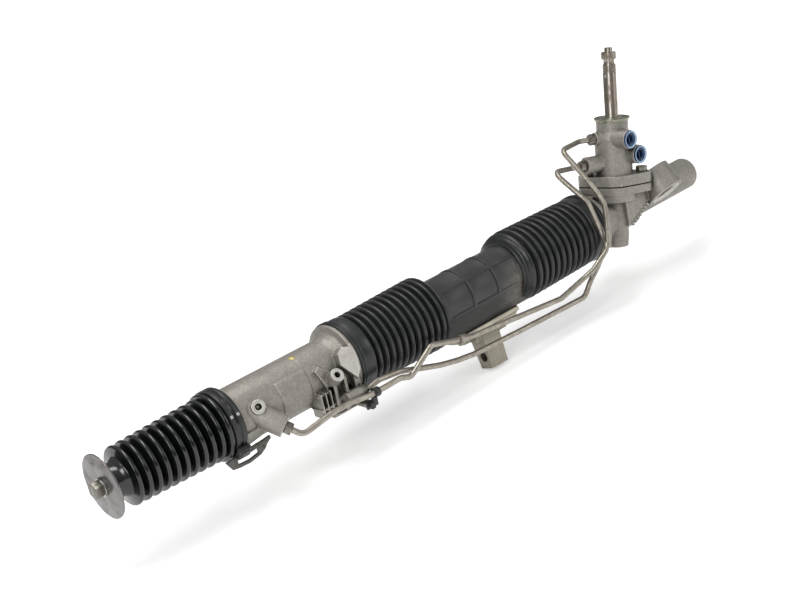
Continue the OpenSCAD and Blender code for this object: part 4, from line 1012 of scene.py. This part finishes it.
screw_way, bush_way, pad_way = forward(40), forward(-50), forward(22)
screw_face = at_rack(273, 0, 0) + (screw_way * 44 + bush_way * 25) * 0.001
pad_face = at_rack(286, 0, 0) + pad_way * 0.043
port_way = Vector((0.50, -0.66, -0.56))
ball_face = at_rack(175, -35.5, 13.4) + ball_way * 0.002
print("ways of the milled faces:", [round(way.z, 3) for way in (screw_way, bush_way, pad_way)])

# %% Give them their second finish
mill(cylinder_skin, milled_metal, [
    (screw_face, screw_way, 9, 1.2, 0.9), (pad_face + Vector((0.011, 0, 0)), pad_way, 26, 1.6, 0.85),
    (at_rack(193, -48, -16), port_way, 14, 1.2, 0.9), (ball_face, ball_way, 8.6, 1.2, 0.85)])
# The middle of the bush boss is the origin, and its two faces lie 15.5 mm to each side.
mill(gear_skin, milled_metal, [(way * 0.0155, way, 21, 2.6, 0.35) for way in (bush_way, -bush_way)])
mill(valve_skin, milled_metal, [
    (on_valve(0, 0, 125), pinion_axis, 24, 1, 0.9),
    (upper_port, (0, -1, 0), 14, 0.8, 0.9), (lower_port, (0, -1, 0), 14, 0.8, 0.9)])
# The bracket's chamfer is rubbed bright along the sleeve.
mill(bracket_skin, bright_edge, [(at_rack(524, -24, -42.6), (0, -0.82, 0.57), 60, 3.0, 0.74)])
# The two clips within 300 mm of this place are bare like the pipes. The one with a bolt stays black.
mill(soft["pipe_clips"], pipe_steel, [(along(640), (1, 0, 0), 300, 300, -1.1)])
# Painted light: the rims' front faces take the paler blue.
for plug, port in ((upper_plug, upper_port), (lower_plug, lower_port)):
    mill(plug, cap_rim_painted_light, [(port + Vector((0, -0.0026, 0)), (0, -1, 0), 12, 0.9, 0.45)])

# %% [markdown]
# ## Floor and light
# The picture has a white ground and soft light from above and from the left. A big soft lamp
# hangs over the rack, a second one stands to the left of the camera and a weak third one to the
# right, and the world fills the rest. The ground looks white to the camera and in reflections by
# Light Path, not by more light. Near the rack it glows less, which leaves the soft shadow.

# %% Lay the floor
floor_z = min(corner[2] for corner in cad_box) - 0.0005
start_fresh()
bpy.ops.mesh.primitive_plane_add(size=12, location=(-0.4, 0, floor_z))
floor = bpy.context.object
floor.name = "floor"
white = bpy.data.materials.new("floor_white")
white.use_nodes = True
tree = white.node_tree
tree.nodes.clear()
b = Bench(tree)
diffuse = tree.nodes.new("ShaderNodeBsdfDiffuse")
diffuse.inputs[0].default_value = (0.82, 0.82, 0.82, 1)
glow = tree.nodes.new("ShaderNodeEmission")
path = tree.nodes.new("ShaderNodeLightPath").outputs
seen = b.math("MAXIMUM", path["Is Camera Ray"], path["Is Glossy Ray"])
place = b.split(b.coords())
far = b.distance(place[0], place[1])
b.put(b.math("MULTIPLY", seen, b.ramp(far, 0.7, 1.6, 0.42, 1.0)), glow.inputs["Strength"])
both = tree.nodes.new("ShaderNodeAddShader")
tree.links.new(diffuse.outputs[0], both.inputs[0])
tree.links.new(glow.outputs[0], both.inputs[1])
tree.links.new(both.outputs[0], tree.nodes.new("ShaderNodeOutputMaterial").inputs[0])
floor.data.materials.append(white)
print("floor at", round(floor_z, 4))


# %% Hang the lamps
def lamp(name, place, target, size, power):
    """A soft square lamp that faces a point."""
    light = bpy.data.lights.new(name, "AREA")
    light.shape = "RECTANGLE"
    light.size, light.size_y = size
    light.energy = power
    rig = bpy.data.objects.new(name, light)
    bpy.context.scene.collection.objects.link(rig)
    rig.location = place
    rig.rotation_euler = (Vector(target) - Vector(place)).to_track_quat("-Z", "Y").to_euler()


lamp("overhead", (-0.55, 0.15, 1.5), (-0.4, 0, 0), (1.3, 0.4), 12.5)
lamp("left_front", (-1.9, -0.9, 1.0), (-0.4, 0, 0), (0.35, 1.2), 13)
lamp("right_front", (0.9, -1.5, 0.8), (-0.3, 0, 0), (0.5, 0.9), 6)
print("lamps:", [light.name for light in bpy.data.lights])

# %% Light the world
world = bpy.data.worlds.new("studio")
bpy.context.scene.world = world
world.use_nodes = True
tree = world.node_tree
tree.nodes.clear()
b = Bench(tree)
path = tree.nodes.new("ShaderNodeLightPath").outputs
sky = tree.nodes.new("ShaderNodeBackground")
seen = path["Is Camera Ray"]
height = b.split(tree.nodes.new("ShaderNodeTexCoord").outputs["Generated"])[2]
dome = b.ramp(height, 0.0, 0.9, 0.13, 0.62)
b.put(b.math("MAXIMUM", seen, dome), sky.inputs["Strength"])
sky.inputs["Color"].default_value = (1, 1, 1, 1)
tree.links.new(sky.outputs[0], tree.nodes.new("ShaderNodeOutputWorld").inputs[0])
bpy.context.scene.view_settings.view_transform = "Standard"
print("world:", world.name)
